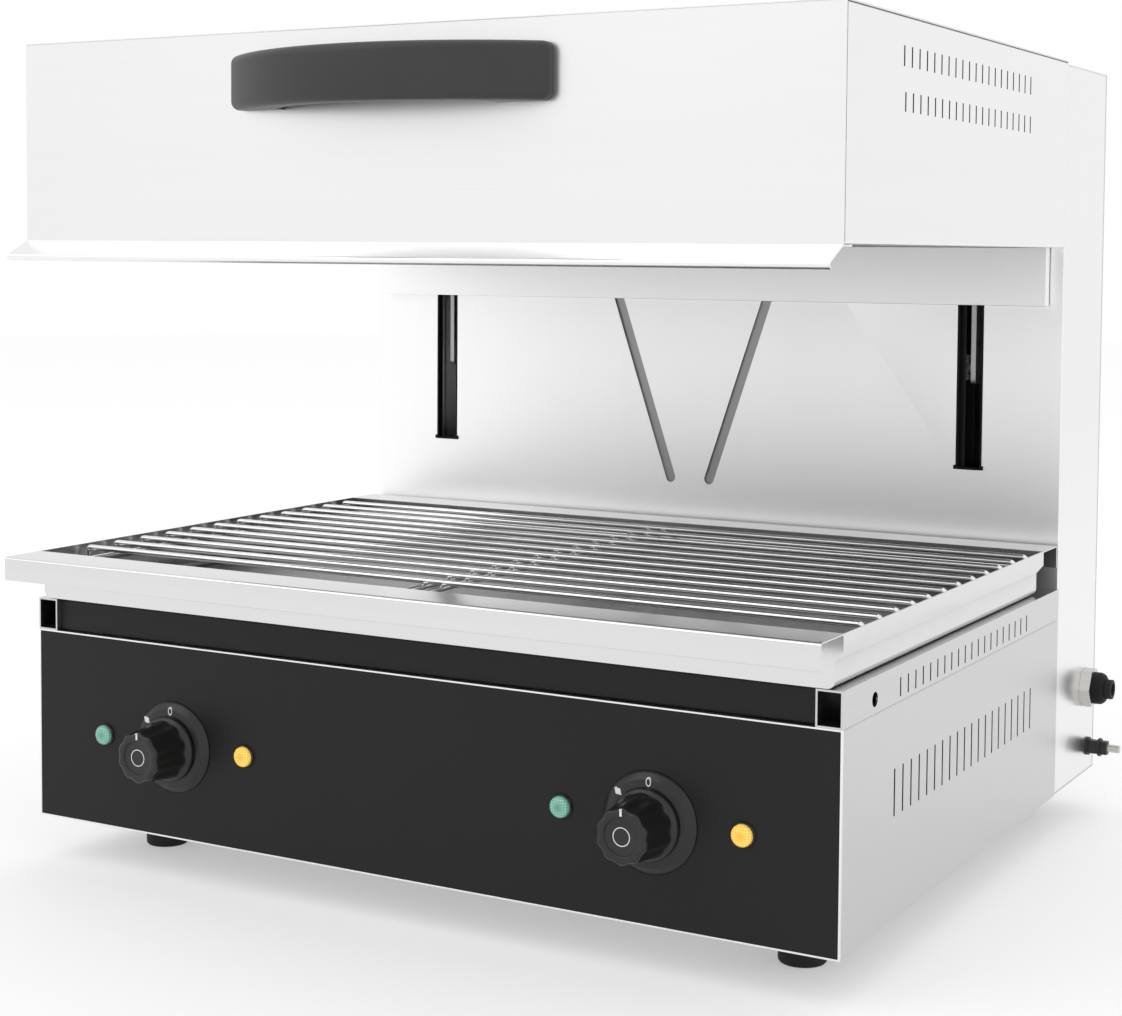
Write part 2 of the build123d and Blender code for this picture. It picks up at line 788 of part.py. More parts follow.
with BuildPart() as slot_liner_right:
    with BuildSketch(front_plane(column_inside_y + liner_depth)):
        with Locations((slot_x, slot_bottom - liner_flange)):
            Rectangle(
                slot_width + 2 * liner_flange, slot_top - slot_bottom + 2 * liner_flange,
                align=(Align.CENTER, Align.MIN),
            )
    extrude(amount=liner_depth)
    with BuildSketch(front_plane(column_inside_y)):
        with Locations((slot_x, slot_bottom)):
            Rectangle(slot_width, slot_top - slot_bottom, align=(Align.CENTER, Align.MIN))
    extrude(amount=thick_sheet)
    with BuildSketch(front_plane(base_depth)):
        with Locations((slot_x, slot_bottom)):
            Rectangle(slot_width + 2 * liner_wall, liner_ledge[1], align=(Align.CENTER, Align.MIN))
    extrude(amount=liner_ledge[0])
    with BuildSketch(front_plane(base_depth - liner_ledge[0])):
        with Locations((slot_x, slot_bottom + liner_wall)):
            Rectangle(
                slot_width - 2 * liner_wall, slot_top - slot_bottom - 2 * liner_wall,
                align=(Align.CENTER, Align.MIN),
            )
    extrude(amount=-liner_ledge[0] - thick_sheet - liner_depth, mode=Mode.SUBTRACT)

with BuildPart() as slot_liners:
    add(slot_liner_right)
    mirror(slot_liner_right.part, about=Plane.YZ)

with BuildPart() as guide_rail_right:
    web_x = guide_web_x + guide_wall / 2
    flange_end_x = arm_inner_x - guide_flange_gap
    add(folded(
        Plane.XY.offset(2 * sheet),
        [(flange_end_x, axle_y - flange_offset), (web_x, axle_y - flange_offset),
         (web_x, axle_y + flange_offset), (flange_end_x, axle_y + flange_offset)],
        column_height - 3 * sheet,
        guide_wall,
    ))

with BuildPart() as guide_rails:
    add(guide_rail_right)
    mirror(guide_rail_right.part, about=Plane.YZ)

with BuildPart() as spring_bracket:
    bracket_front_y = spring_y - spring_radius - bracket_overlap
    bracket_back_y = spring_y + spring_radius + bracket_overlap
    bracket_foot_z = 2 * sheet + bracket_wall / 2
    bracket_top_z = spring_bottom - bracket_wall / 2
    add(folded(
        side_plane(-spring_x - bracket_margin),
        [(bracket_front_y - bracket_foot, bracket_foot_z), (bracket_front_y, bracket_foot_z),
         (bracket_front_y, bracket_top_z), (bracket_back_y, bracket_top_z),
         (bracket_back_y, bracket_foot_z), (bracket_back_y + bracket_foot, bracket_foot_z)],
        2 * (spring_x + bracket_margin),
        bracket_wall,
    ))


spring_places = ((-spring_x, spring_y), (spring_x, spring_y))

with BuildPart() as lift_spring_cylinders:
    with BuildSketch(Plane.XY.offset(spring_bottom)):
        with Locations(*spring_places):
            RegularPolygon(spring_radius, round_sides)
    extrude(amount=spring_top - spring_bottom)
    with BuildSketch(Plane.XY.offset(spring_bottom + spring_floor)):
        with Locations(*spring_places):
            RegularPolygon(spring_bore_radius, round_sides)
    extrude(amount=spring_top - spring_cap - spring_bottom - spring_floor, mode=Mode.SUBTRACT)
    with BuildSketch(Plane.XY.offset(spring_top)):
        with Locations(*spring_places):
            RegularPolygon(spring_rod_radius + shaft_clearance, small_sides)
    extrude(amount=-2 * spring_cap, mode=Mode.SUBTRACT)

with BuildPart() as lift_spring_rods:
    with BuildSketch(Plane.XY.offset(piston_top)):
        with Locations(*spring_places):
            RegularPolygon(spring_bore_radius - shaft_clearance, round_sides)
    extrude(amount=-spring_piston)
    with BuildSketch(Plane.XY.offset(piston_top)):
        with Locations(*spring_places):
            RegularPolygon(spring_rod_radius, small_sides)
    extrude(amount=carriage_z - piston_top)

with BuildPart() as terminal_block:
    terminal_place = (half_column - terminal_inset[0], column_back_y - terminal_inset[1])
    with BuildSketch(Plane.XY.offset(2 * sheet)):
        with Locations(terminal_place):
            Rectangle(terminal_size[0], terminal_size[1])
    extrude(amount=terminal_size[2])
    with BuildSketch(Plane.XY.offset(2 * sheet + terminal_size[2])):
        with Locations(terminal_place):
            with GridLocations(terminal_pitch, 0, terminal_ways, 1):
                Rectangle(terminal_way[0], terminal_way[1])
    extrude(amount=terminal_way[2])

with BuildPart() as gland_body:
    with BuildSketch(axis_plane(half_column, gland_y, gland_z)):
        RegularPolygon(gland_thread_radius, round_sides)
    extrude(amount=-gland_thread_length)
    with BuildSketch(axis_plane(half_column, gland_y, gland_z)):
        RegularPolygon(gland_hex_radius, 6)
    extrude(amount=gland_hex_thickness)
    with BuildSketch(axis_plane(half_column - gland_thread_length, gland_y, gland_z)):
        RegularPolygon((gland_bore_radius + gland_thread_radius) / 2, round_sides)
    extrude(amount=gland_thread_length + gland_hex_thickness, mode=Mode.SUBTRACT)

with BuildPart() as gland_locknut:
    with BuildSketch(axis_plane(half_column - sheet, gland_y, gland_z)):
        RegularPolygon(locknut_radius, 6)
        RegularPolygon(gland_thread_radius + shaft_clearance, round_sides, mode=Mode.SUBTRACT)
    extrude(amount=-locknut_thickness)

with BuildPart() as gland_cap:
    with BuildSketch(axis_plane(half_column + gland_hex_thickness, gland_y, gland_z)):
        RegularPolygon(gland_cap_radius, round_sides)
    extrude(amount=gland_cap_length)
    chamfer(gland_cap.faces().sort_by(Axis.X)[-1].edges(), gland_cap_bevel)
    with BuildSketch(axis_plane(half_column + gland_hex_thickness, gland_y, gland_z)):
        RegularPolygon(gland_bore_radius + gland_seal_wall, round_sides)
    extrude(amount=gland_cap_length, mode=Mode.SUBTRACT)

with BuildPart() as gland_seal:
    with BuildSketch(axis_plane(half_column + gland_hex_thickness, gland_y, gland_z)):
        RegularPolygon(gland_bore_radius + gland_seal_wall, round_sides)
        Circle(gland_bore_radius, mode=Mode.SUBTRACT)
    extrude(amount=gland_seal_length)

# The stack on the stud, outwards from the column's side: nut inside, washer, nut, washer, nut.
bond_stack = [
    (-sheet - 5, 5, "nut"), (0, 2, "washer"), (2, 7, "nut"), (9, 2, "washer"), (11, 5, "nut"),
]
bond_stack_end = bond_stack[-1][0] + bond_stack[-1][1]

with BuildPart() as bonding_stud:
    with BuildSketch(axis_plane(half_column - bond_inner_length, bond_y, bond_z)):
        RegularPolygon(bond_core_radius, small_sides)
    extrude(amount=bond_inner_length + bond_stack_end)
    with BuildSketch(axis_plane(half_column + bond_stack_end, bond_y, bond_z)):
        Circle(bond_radius)
    extrude(amount=side_reach - bond_stack_end)

with BuildPart() as bonding_nuts:
    for start, thickness, kind in bond_stack:
        with BuildSketch(axis_plane(half_column + start, bond_y, bond_z)):
            if kind == "washer":
                RegularPolygon(bond_washer_radius, round_sides)
            else:
                RegularPolygon(bond_nut_radius, 6)
            RegularPolygon(bond_core_radius + shaft_clearance, small_sides, mode=Mode.SUBTRACT)
        extrude(amount=thickness)


# ------------------------------------------------------------------ head casing
with BuildPart() as hood_front:
    face_bottom = hood_bottom + thick_sheet / 2
    face_top = hood_top_z - sheet - thick_sheet / 2
    face_y = hood_front_y + thick_sheet / 2
    flange_half_width = half_width - fold - 0.5
    add(folded(
        side_plane(-flange_half_width),
        [(face_y + hood_flange, face_bottom), (face_y, face_bottom),
         (face_y, face_top), (face_y + hood_flange, face_top)],
        2 * flange_half_width,
        thick_sheet,
    ))
    with BuildSketch(front_plane(hood_inside_y)):
        with Locations((0, hood_bottom)):
            Rectangle(body_width, hood_top_z - sheet - hood_bottom, align=(Align.CENTER, Align.MIN))
    extrude(amount=thick_sheet)
    with BuildSketch(front_plane(hood_inside_y)):
        with Locations((0, (hood_bottom + hood_top_z - sheet) / 2)):
            with GridLocations(body_width - 2 * sheet - thick_sheet, 0, 2, 1):
                Rectangle(thick_sheet, hood_top_z - hood_bottom - 4 * thick_sheet)
    extrude(amount=-fold)
    with BuildSketch(front_plane(hood_front_y)):
        with Locations((-handle_screw_x, handle_z), (handle_screw_x, handle_z)):
            RegularPolygon(handle_screw_radius + hole_clearance, small_sides)
    extrude(amount=-2 * thick_sheet, mode=Mode.SUBTRACT)

with BuildPart() as hood_side_right:
    side_edge = half_width - sheet / 2
    side_front_y = hood_inside_y + hood_seam
    add(folded(
        front_plane(hood_back_y - sheet),
        [(half_width - fold, hood_bottom + sheet / 2), (side_edge, hood_bottom + sheet / 2),
         (side_edge, hood_top_z - 1.5 * sheet), (half_width - fold, hood_top_z - 1.5 * sheet)],
        hood_back_y - sheet - side_front_y,
    ))
    for row_sizes in (hood_upper_louvres, hood_lower_louvres):
        extrude(
            louvres(hood_front_y, hood_back_y, hood_bottom, row_sizes),
            amount=-3 * sheet,
            mode=Mode.SUBTRACT,
        )

with BuildPart() as hood_side_left:
    mirror(hood_side_right.part, about=Plane.YZ)

with BuildPart() as hood_top:
    with BuildSketch(Plane.XY.offset(hood_top_z - sheet)):
        with Locations((0, hood_front_y)):
            Rectangle(body_width, hood_back_y - hood_front_y, align=(Align.CENTER, Align.MIN))
    extrude(amount=sheet)

apron_width = body_width - 2 * apron_inset

with BuildPart() as hood_back:
    with BuildSketch(front_plane(hood_back_y)):
        with Locations((0, hood_bottom)):
            Rectangle(body_width, hood_top_z - sheet - hood_bottom, align=(Align.CENTER, Align.MIN))
        with Locations((0, apron_bottom)):
            Rectangle(apron_width, apron_drop, align=(Align.CENTER, Align.MIN))
    extrude(amount=sheet)

with BuildPart() as rear_apron:
    apron_middle_z = apron_bottom + apron_drop / 2
    with BuildSketch(front_plane(hood_back_y - sheet)):
        with Locations((0, apron_middle_z)):
            Rectangle(apron_width, apron_drop)
    extrude(amount=apron_depth)
    with BuildSketch(front_plane(hood_back_y - sheet)):
        with Locations((0, apron_middle_z)):
            Rectangle(apron_width - 2 * sheet, apron_drop - 2 * sheet)
    extrude(amount=apron_depth - sheet, mode=Mode.SUBTRACT)

with BuildPart() as deflector_lip:
    lip_top = hood_bottom - thick_sheet / 2
    add(folded(
        side_plane(-half_width),
        [(hood_inside_y + fold, lip_top), (hood_front_y - 0.5, lip_top),
         (lip_front_y, lip_top - lip_drop),
         (lip_front_y + lip_hem[0], lip_top - lip_drop - lip_hem[1])],
        body_width,
        thick_sheet,
    ))

with BuildPart() as handle:
    foot_step_y = hood_front_y - handle_foot_step
    with BuildSketch(Plane.XY.offset(handle_z - handle_height / 2)):
        with BuildLine():
            Polyline(
                (half_handle, handle_end_y), (half_handle, hood_front_y), (foot_x_inner, hood_front_y),
                (foot_x_inner, foot_step_y),
            )
            ThreePointArc((foot_x_inner, foot_step_y), (0, handle_inner_y), (-foot_x_inner, foot_step_y))
            Polyline(
                (-foot_x_inner, foot_step_y), (-foot_x_inner, hood_front_y),
                (-half_handle, hood_front_y), (-half_handle, handle_end_y),
            )
            ThreePointArc((-half_handle, handle_end_y), (0, handle_front_y), (half_handle, handle_end_y))
        make_face()
    extrude(amount=handle_height)
    fillet(handle.edges().filter_by(Axis.Z).group_by(Axis.Y)[0], handle_end_round)
    chamfer(
        handle.faces().filter_by(Axis.Z).edges().filter_by(
            lambda e: e.center().Y < foot_step_y - 0.1 or abs(e.center().X) > half_handle - 0.1
        ),
        handle_bevel,
    )
    with BuildSketch(front_plane(hood_front_y)):
        with Locations((-handle_screw_x, handle_z), (handle_screw_x, handle_z)):
            RegularPolygon(handle_screw_radius + shaft_clearance, small_sides)
    extrude(amount=handle_screw_length, mode=Mode.SUBTRACT)

with BuildPart() as handle_screws:
    with BuildSketch(front_plane(hood_inside_y)):
        with Locations((-handle_screw_x, handle_z), (handle_screw_x, handle_z)):
            RegularPolygon(handle_screw_head_radius, small_sides)
    extrude(amount=-handle_screw_head)
    with BuildSketch(front_plane(hood_inside_y)):
        with Locations((-handle_screw_x, handle_z), (handle_screw_x, handle_z)):
            RegularPolygon(handle_screw_radius, small_sides)
    extrude(amount=handle_screw_length)


# ------------------------------------------------------------------ heating
with BuildPart() as heat_reflector:
    with BuildSketch(front_plane(reflector_back)):
        with Locations((0, reflector_bottom)):
            Rectangle(2 * reflector_half_width, reflector_top - reflector_bottom, align=(Align.CENTER, Align.MIN))
    extrude(amount=reflector_back - reflector_front)
    offset(amount=-sheet, openings=heat_reflector.faces().sort_by(Axis.Z)[0])

with BuildPart() as insulation:
    with BuildSketch(Plane.XY.offset(reflector_top)):
        with Locations((0, (reflector_front + reflector_back) / 2)):
            Rectangle(
                2 * (reflector_half_width - insulation_inset),
                reflector_back - reflector_front - 2 * insulation_inset,
            )
    extrude(amount=insulation_thickness)


def heating_element(side):
    """A tubular element bent into runs that lie side by side, its ends at the back."""
    run_front = reflector_front + element_front_gap
    run_back = reflector_back - element_back_gap
    points = []
    for number in range(element_runs):
        x = side * (element_inner_x + number * element_pitch)
        run = [(x, run_back, element_z), (x, run_front, element_z)]
        points += run if number % 2 == 0 else run[::-1]
    with BuildPart() as piece:
        with BuildLine() as path:
            FilletPolyline(*points, radius=element_pitch / 2 - running_gap)
        with BuildSketch(Plane(origin=path.line @ 0, z_dir=path.line % 0)):
            RegularPolygon(element_radius, wire_sides)
        sweep()
    return piece.part


with BuildPart() as heating_elements:
    for side in (-1, 1):
        add(heating_element(side))

with BuildPart() as element_hangers:
    hanger_middle_x = element_inner_x + element_pitch * (element_runs - 1) / 2
    hanger_width = element_pitch * (element_runs - 1) + 2 * hanger_margin
    for hanger_y in (reflector_front + hanger_inset, reflector_back - hanger_inset):
        with BuildSketch(front_plane(hanger_y)):
            with Locations((-hanger_middle_x, reflector_top - sheet), (hanger_middle_x, reflector_top - sheet)):
                Rectangle(
                    hanger_width, reflector_top - sheet - element_z - element_radius,
                    align=(Align.CENTER, Align.MAX),
                )
        extrude(amount=hanger_thickness)


# ------------------------------------------------------------------ carriage
def lift_arm(side):
    """The plate that reaches from the head through its slot and carries two rollers."""
    with BuildPart() as piece:
        with BuildSketch(side_plane(side * slot_x - arm_thickness / 2)):
            arm_top = hood_top_z - arm_top_drop
            neck_bottom = apron_bottom + arm_neck_rise
            finger_bottom = axle_z[0] - arm_finger
            finger_front_y = column_inside_y + liner_depth + running_gap + axle_head
            with BuildLine():
                Polyline(
                    (hood_back_y, arm_top), (hood_back_y, neck_bottom), (finger_front_y, neck_bottom),
                    (finger_front_y, finger_bottom), (axle_y + arm_finger, finger_bottom),
                    (carriage_back_y, axle_z[0] + 2 * arm_finger), (carriage_back_y, arm_top),
                    (hood_back_y, arm_top),
                )
            make_face()
        extrude(amount=arm_thickness)
        fillet(piece.edges().filter_by(Axis.X).group_by(Axis.Z)[0], arm_round)
    return piece.part


with BuildPart() as lift_arms:
    for side in (-1, 1):
        add(lift_arm(side))

with BuildPart() as carriage_beam:
    beam_bottom = carriage_z + carriage_wall / 2
    beam_top = carriage_z + carriage_height
    add(folded(
        side_plane(-arm_inner_x),
        [(carriage_front_y + carriage_wall / 2, beam_top), (carriage_front_y + carriage_wall / 2, beam_bottom),
         (carriage_back_y - carriage_wall / 2, beam_bottom), (carriage_back_y - carriage_wall / 2, beam_top)],
        2 * arm_inner_x,
        carriage_wall,
    ))

with BuildPart() as roller_axles:
    shoulder_x = roller_outer_x + running_gap
    head_x = roller_inner_x - running_gap
    for side in (-1, 1):
        for z in axle_z:
            for start, end, radius in (
                (arm_inner_x, shoulder_x, axle_radius + axle_boss),
                (shoulder_x, head_x, axle_radius),
                (head_x, head_x - axle_head, axle_radius + axle_boss),
            ):
                with BuildSketch(axis_plane(side * start, axle_y, z)):
                    RegularPolygon(radius, round_sides)
                extrude(amount=side * (end - start))


def guide_roller(side, z):
    """A grooveless roller that runs on its axle between the guide rail's flanges."""
    with BuildPart() as piece:
        with BuildSketch(axis_plane(side * roller_outer_x, axle_y, z)):
            RegularPolygon(roller_radius, large_sides)
            Circle(axle_radius + shaft_clearance, mode=Mode.SUBTRACT)
        extrude(amount=-side * roller_width)
    return piece


rollers = {
    "roller_lower_left": guide_roller(-1, axle_z[0]),
    "roller_upper_left": guide_roller(-1, axle_z[1]),
    "roller_lower_right": guide_roller(1, axle_z[0]),
    "roller_upper_right": guide_roller(1, axle_z[1]),
}

# ------------------------------------------------------------------ set down and write
pieces = {
    "base_side_right": base_side_right,
    "base_side_left": base_side_left,
    "base_pan": base_pan,
    "base_deck": base_deck,
    "front_chassis": front_chassis,
    "front_panel": front_panel,
    "side_rails": side_rails,
    "rail_screws": rail_screws,
    "cross_panel": cross_panel,
    "feet": feet,
    "foot_nuts": foot_nuts,
    "lamp_bezels": lamp_bezels,
    "lamp_lenses_green": lamp_lenses_green,
    "lamp_lenses_amber": lamp_lenses_amber,
    "dial_plates": dial_plates,
    "regulators": regulators,
    **controls,
    "drip_tray": drip_tray,
    "wire_grid": wire_grid,
    "column_front": column_front,
    "column_side_right": column_side_right,
    "column_side_left": column_side_left,
    "column_back": column_back,
    "back_screws": back_screws,
    "column_top": column_top,
    "slot_liners": slot_liners,
    "guide_rails": guide_rails,
    "spring_bracket": spring_bracket,
    "lift_spring_cylinders": lift_spring_cylinders,
    "lift_spring_rods": lift_spring_rods,
    "terminal_block": terminal_block,
    "gland_body": gland_body,
    "gland_locknut": gland_locknut,
    "gland_cap": gland_cap,
    "gland_seal": gland_seal,
    "bonding_stud": bonding_stud,
    "bonding_nuts": bonding_nuts,
    "hood_front": hood_front,
    "hood_side_right": hood_side_right,
    "hood_side_left": hood_side_left,
    "hood_top": hood_top,
    "hood_back": hood_back,
    "rear_apron": rear_apron,
    "deflector_lip": deflector_lip,
    "handle": handle,
    "handle_screws": handle_screws,
    "heat_reflector": heat_reflector,
    "insulation": insulation,
    "heating_elements": heating_elements,
    "element_hangers": element_hangers,
    "lift_arms": lift_arms,
    "carriage_beam": carriage_beam,
    "roller_axles": roller_axles,
    **rollers,
}

middle_x = (half_column + side_reach - half_width) / 2
middle_y = (handle_front_y + column_back_y + screw_head) / 2
set_down = Location((-middle_x, -middle_y, foot_height))
os.makedirs("parts", exist_ok=True)
for name, piece in pieces.items():
    piece.part.label = name
    export_step(piece.part.moved(set_down), f"parts/{name}.step")
print(len(pieces), "pieces; the drawing's own datums lie at", set_down.position)
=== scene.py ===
import json
from math import cos, pi, radians, sin, tan

import bmesh
import bpy
from mathutils import Matrix, Vector


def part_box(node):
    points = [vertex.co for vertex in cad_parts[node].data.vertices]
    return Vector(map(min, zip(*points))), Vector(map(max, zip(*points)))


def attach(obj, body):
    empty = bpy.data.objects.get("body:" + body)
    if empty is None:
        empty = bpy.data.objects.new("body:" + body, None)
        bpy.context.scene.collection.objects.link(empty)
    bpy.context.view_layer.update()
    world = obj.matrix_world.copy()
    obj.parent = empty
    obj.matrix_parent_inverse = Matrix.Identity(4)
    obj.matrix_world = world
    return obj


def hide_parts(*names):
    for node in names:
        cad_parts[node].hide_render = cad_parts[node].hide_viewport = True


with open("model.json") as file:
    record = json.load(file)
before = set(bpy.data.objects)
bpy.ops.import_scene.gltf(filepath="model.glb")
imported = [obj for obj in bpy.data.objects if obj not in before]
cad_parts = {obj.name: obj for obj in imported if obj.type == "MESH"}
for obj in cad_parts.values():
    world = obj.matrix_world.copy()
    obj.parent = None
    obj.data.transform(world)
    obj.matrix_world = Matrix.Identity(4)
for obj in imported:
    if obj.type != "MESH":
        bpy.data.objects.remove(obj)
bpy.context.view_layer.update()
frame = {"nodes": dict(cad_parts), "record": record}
mm = 0.001

# The appliance stands on the floor at z = 0, with its control panel towards -Y.
BODY_OF = {
    node: body for body, nodes in frame["record"]["behaviour"]["bodies"].items() for node in nodes
}


# ------------------------------------------------------------------ material expressions
class Value:
    """The output of a node, which can be used in a Python expression."""

    def __init__(self, finish, socket):
        self.finish = finish
        self.socket = socket

    def maths(self, operation, first, second):
        return self.finish.node("ShaderNodeMath", {"operation": operation}, {0: first, 1: second})

    def __add__(self, other):
        return self.maths("ADD", self, other)

    def __sub__(self, other):
        return self.maths("SUBTRACT", self, other)

    def __rsub__(self, other):
        return self.maths("SUBTRACT", other, self)

    def __mul__(self, other):
        return self.maths("MULTIPLY", self, other)

    __radd__ = __add__
    __rmul__ = __mul__


class Finish:
    """A surface finish made of nodes, placed by the object's own coordinates."""

    def __init__(self, name, tree=None):
        self.material = None
        if tree is None:
            self.material = bpy.data.materials.new(name)
            self.material.use_nodes = True
            tree = self.material.node_tree
        self.tree = tree
        self.tree.nodes.clear()

    def node(self, kind, settings=None, sockets=None, output=0):
        """Adds a node: its settings first, then the values or links of its sockets."""
        node = self.tree.nodes.new(kind)
        for key, value in (settings or {}).items():
            setattr(node, key, value)
        for key, value in (sockets or {}).items():
            if isinstance(value, Value):
                self.tree.links.new(value.socket, node.inputs[key])
            else:
                node.inputs[key].default_value = value
        return Value(self, node.outputs[output])

    def place(self, scale=(1, 1, 1)):
        """The object's own coordinates, stretched."""
        own = self.node("ShaderNodeTexCoord", output="Object")
        return self.node("ShaderNodeMapping", {}, {"Vector": own, "Scale": scale})

    def noise(self, scale, stretch=(1, 1, 1), detail=3.0, roughness=0.55):
        """Noise from 0 to 1, with so many cells to the metre."""
        return self.node("ShaderNodeTexNoise", {}, {
            "Vector": self.place(stretch), "Scale": scale, "Detail": detail, "Roughness": roughness,
        })

    def spread(self, value, low, high, end=1.0):
        """A value between 0 and end, spread from low to high and held inside them."""
        return self.node("ShaderNodeMapRange", {"clamp": True}, {
            0: value, 1: 0.0, 2: end, 3: low, 4: high,
        })

    def mix(self, factor, first, second):
        """A colour between two colours."""
        return self.node(
            "ShaderNodeMix", {"data_type": "RGBA"}, {0: factor, 6: first, 7: second}, output=2,
        )

    def bump(self, height, distance, strength):
        """Small relief: a height from 0 to 1 that stands for a real distance."""
        return self.node("ShaderNodeBump", {}, {
            "Height": height, "Distance": distance, "Strength": strength,
        })

    def surface(self, **sockets):
        """The shader itself. Its sockets are named with _ for a space, in lower case."""
        named = {key.replace("_", " ").title().replace("Ior", "IOR"): value
                 for key, value in sockets.items()}
        return self.node("ShaderNodeBsdfPrincipled", {}, named)

    def done(self, shader, kind="ShaderNodeOutputMaterial"):
        end = self.tree.nodes.new(kind)
        self.tree.links.new(shader.socket, end.inputs["Surface"])
        return self.material


def tone(colour, share):
    """A linear colour made darker or paler by a share, with its alpha."""
    return (*(level * share for level in colour), 1.0)


def grey(level):
    """A neutral colour of one linear level."""
    return tone((1.0, 1.0, 1.0), level)


# ------------------------------------------------------------------ finishes
def brushed_steel(name, grain, level=0.86, rough=0.28, contrast=0.03, relief=0.10):
    """Satin stainless sheet with fine brush lines along one axis and faint cloudy marks."""
    finish = Finish(name)
    along = "XYZ".index(grain)
    fine, broad = [900.0, 900.0, 900.0], [70.0, 70.0, 70.0]
    fine[along], broad[along] = 5.0, 1.2
    lines = finish.noise(1.0, fine, roughness=0.6)
    bands = finish.noise(1.0, broad, detail=2.0)
    clouds = finish.noise(4.0, detail=2.0)
    shade = lines * 0.5 + bands * 0.3 + clouds * 0.2
    worn = lines * 0.5 + clouds * 0.5
    return finish.done(finish.surface(
        base_color=finish.mix(shade, grey(level * (1 - contrast)), grey(level * (1 + contrast))),
        metallic=1.0, roughness=finish.spread(worn, rough * 0.85, rough * 1.2),
        normal=finish.bump(lines * 0.7 + bands * 0.3, 0.03 * mm, relief),
    ))


def tray_inside_painted_shade(name):
    """The tray's inside, painted dark as the shade under the hood and its dark reflection, with
    blotchy stains.
    """
    finish = Finish(name)
    lines = finish.noise(1.0, (5, 700, 700), roughness=0.6)
    stains = finish.noise(7.0, (1, 1.6, 1), detail=4.0)
    return finish.done(finish.surface(
        base_color=finish.mix(stains * 0.7 + lines * 0.3, grey(0.20), grey(0.42)), metallic=1.0,
        roughness=finish.spread(stains, 0.20, 0.36), normal=finish.bump(lines, 0.03 * mm, 0.2),
    ))


def satin_enamel(name, level, rough, specular):
    """Baked black enamel with a slight orange peel."""
    finish = Finish(name)
    peel = finish.noise(260.0, detail=2.0)
    clouds = finish.noise(9.0, detail=2.0)
    return finish.done(finish.surface(
        base_color=finish.mix(clouds, grey(level * 0.8), grey(level * 1.2)),
        roughness=finish.spread(clouds, rough - 0.04, rough + 0.05),
        specular_ior_level=specular, normal=finish.bump(peel, 0.05 * mm, 0.35),
    ))


def moulded_plastic(name, colour, rough, specular, texture=900.0, relief=0.04 * mm):
    """Moulded plastic or rubber with a fine spark-eroded texture."""
    finish = Finish(name)
    grain = finish.noise(texture, roughness=0.6)
    wear = finish.noise(14.0)
    return finish.done(finish.surface(
        base_color=finish.mix(wear, tone(colour, 0.85), tone(colour, 1.15)),
        roughness=finish.spread(grain * 0.5 + wear * 0.5, rough - 0.05, rough + 0.08),
        specular_ior_level=specular, normal=finish.bump(grain, relief, 0.4),
    ))


def plated(name, level, rough, tint=(1.0, 1.0, 1.0)):
    """Bright plating with tiny handling scratches."""
    finish = Finish(name)
    scratches = finish.noise(240.0, (1, 1, 5), detail=4.0, roughness=0.7)
    clouds = finish.noise(30.0, detail=2.0)
    return finish.done(finish.surface(
        base_color=finish.mix(clouds, tone(tint, level * 0.9), tone(tint, level * 1.05)),
        metallic=1.0, roughness=finish.spread(scratches, rough * 0.8, rough * 1.5),
        normal=finish.bump(scratches, 0.01 * mm, 0.4),
    ))


def galvanised(name):
    """Zinc-coated sheet with its soft crystal flowers."""
    finish = Finish(name)
    cells = finish.node("ShaderNodeTexVoronoi", {"feature": "F1"}, {
        "Vector": finish.place(), "Scale": 90.0,
    }, output="Color")
    flower = finish.node("ShaderNodeSeparateColor", {}, {"Color": cells})
    fine = finish.noise(400.0)
    return finish.done(finish.surface(
        base_color=finish.mix(flower * 0.6 + fine * 0.4, grey(0.38), grey(0.62)), metallic=0.9,
        roughness=finish.spread(flower, 0.34, 0.52), normal=finish.bump(fine, 0.03 * mm, 0.3),
    ))


def lamp_glass(name, shade, glow, strength):
    """A coloured lens lit from within, with a painted sparkle: its colour and glow are paler towards
    the peak of each pressed pyramid.
    """
    finish = Finish(name)
    from_peak = finish.node("ShaderNodeTexVoronoi", {"feature": "F1", "distance": "CHEBYCHEV"}, {
        "Vector": finish.place(), "Scale": 620.0, "Randomness": 0.0,
    })
    # Painted sparkle: this pattern brightens the colour and glow at each pyramid's peak, and also
    # gives the pyramids their relief.
    pyramid_relief_and_painted_sparkle = 1.0 - finish.spread(from_peak, 0.0, 1.0, end=0.6)
    colour = finish.mix(pyramid_relief_and_painted_sparkle, shade, glow)
    return finish.done(finish.surface(
        base_color=colour, roughness=finish.spread(pyramid_relief_and_painted_sparkle, 0.3, 0.12), specular_ior_level=0.6,
        emission_color=colour, emission_strength=strength,
        normal=finish.bump(pyramid_relief_and_painted_sparkle, 0.5 * mm, 0.8),
    ))


def dark_sheath(name):
    """Heat-darkened steel with a straw and grey bloom."""
    finish = Finish(name)
    bloom = finish.noise(26.0)
    fine = finish.noise(500.0)
    return finish.done(finish.surface(
        base_color=finish.mix(bloom, (0.045, 0.042, 0.042, 1), (0.13, 0.10, 0.075, 1)),
        metallic=0.75, roughness=finish.spread(fine, 0.45, 0.7),
        normal=finish.bump(fine, 0.03 * mm, 0.4),
    ))


def fibre_blanket(name):
    """Off-white ceramic wool, as the insulation over the heat reflector."""
    finish = Finish(name)
    fluff = finish.noise(180.0, detail=6.0, roughness=0.7)
    return finish.done(finish.surface(
        base_color=finish.mix(fluff, (0.62, 0.60, 0.55, 1), (0.80, 0.79, 0.75, 1)),
        roughness=finish.spread(fluff, 0.85, 0.98), normal=finish.bump(fluff, 1.2 * mm, 0.7),
    ))


def printed_white(name):
    """The white print of the marks on the controls, very slightly worn."""
    finish = Finish(name)
    wear = finish.noise(1500.0)
    return finish.done(finish.surface(
        base_color=finish.mix(wear, grey(0.68), grey(0.85)),
        roughness=finish.spread(wear, 0.45, 0.6),
    ))


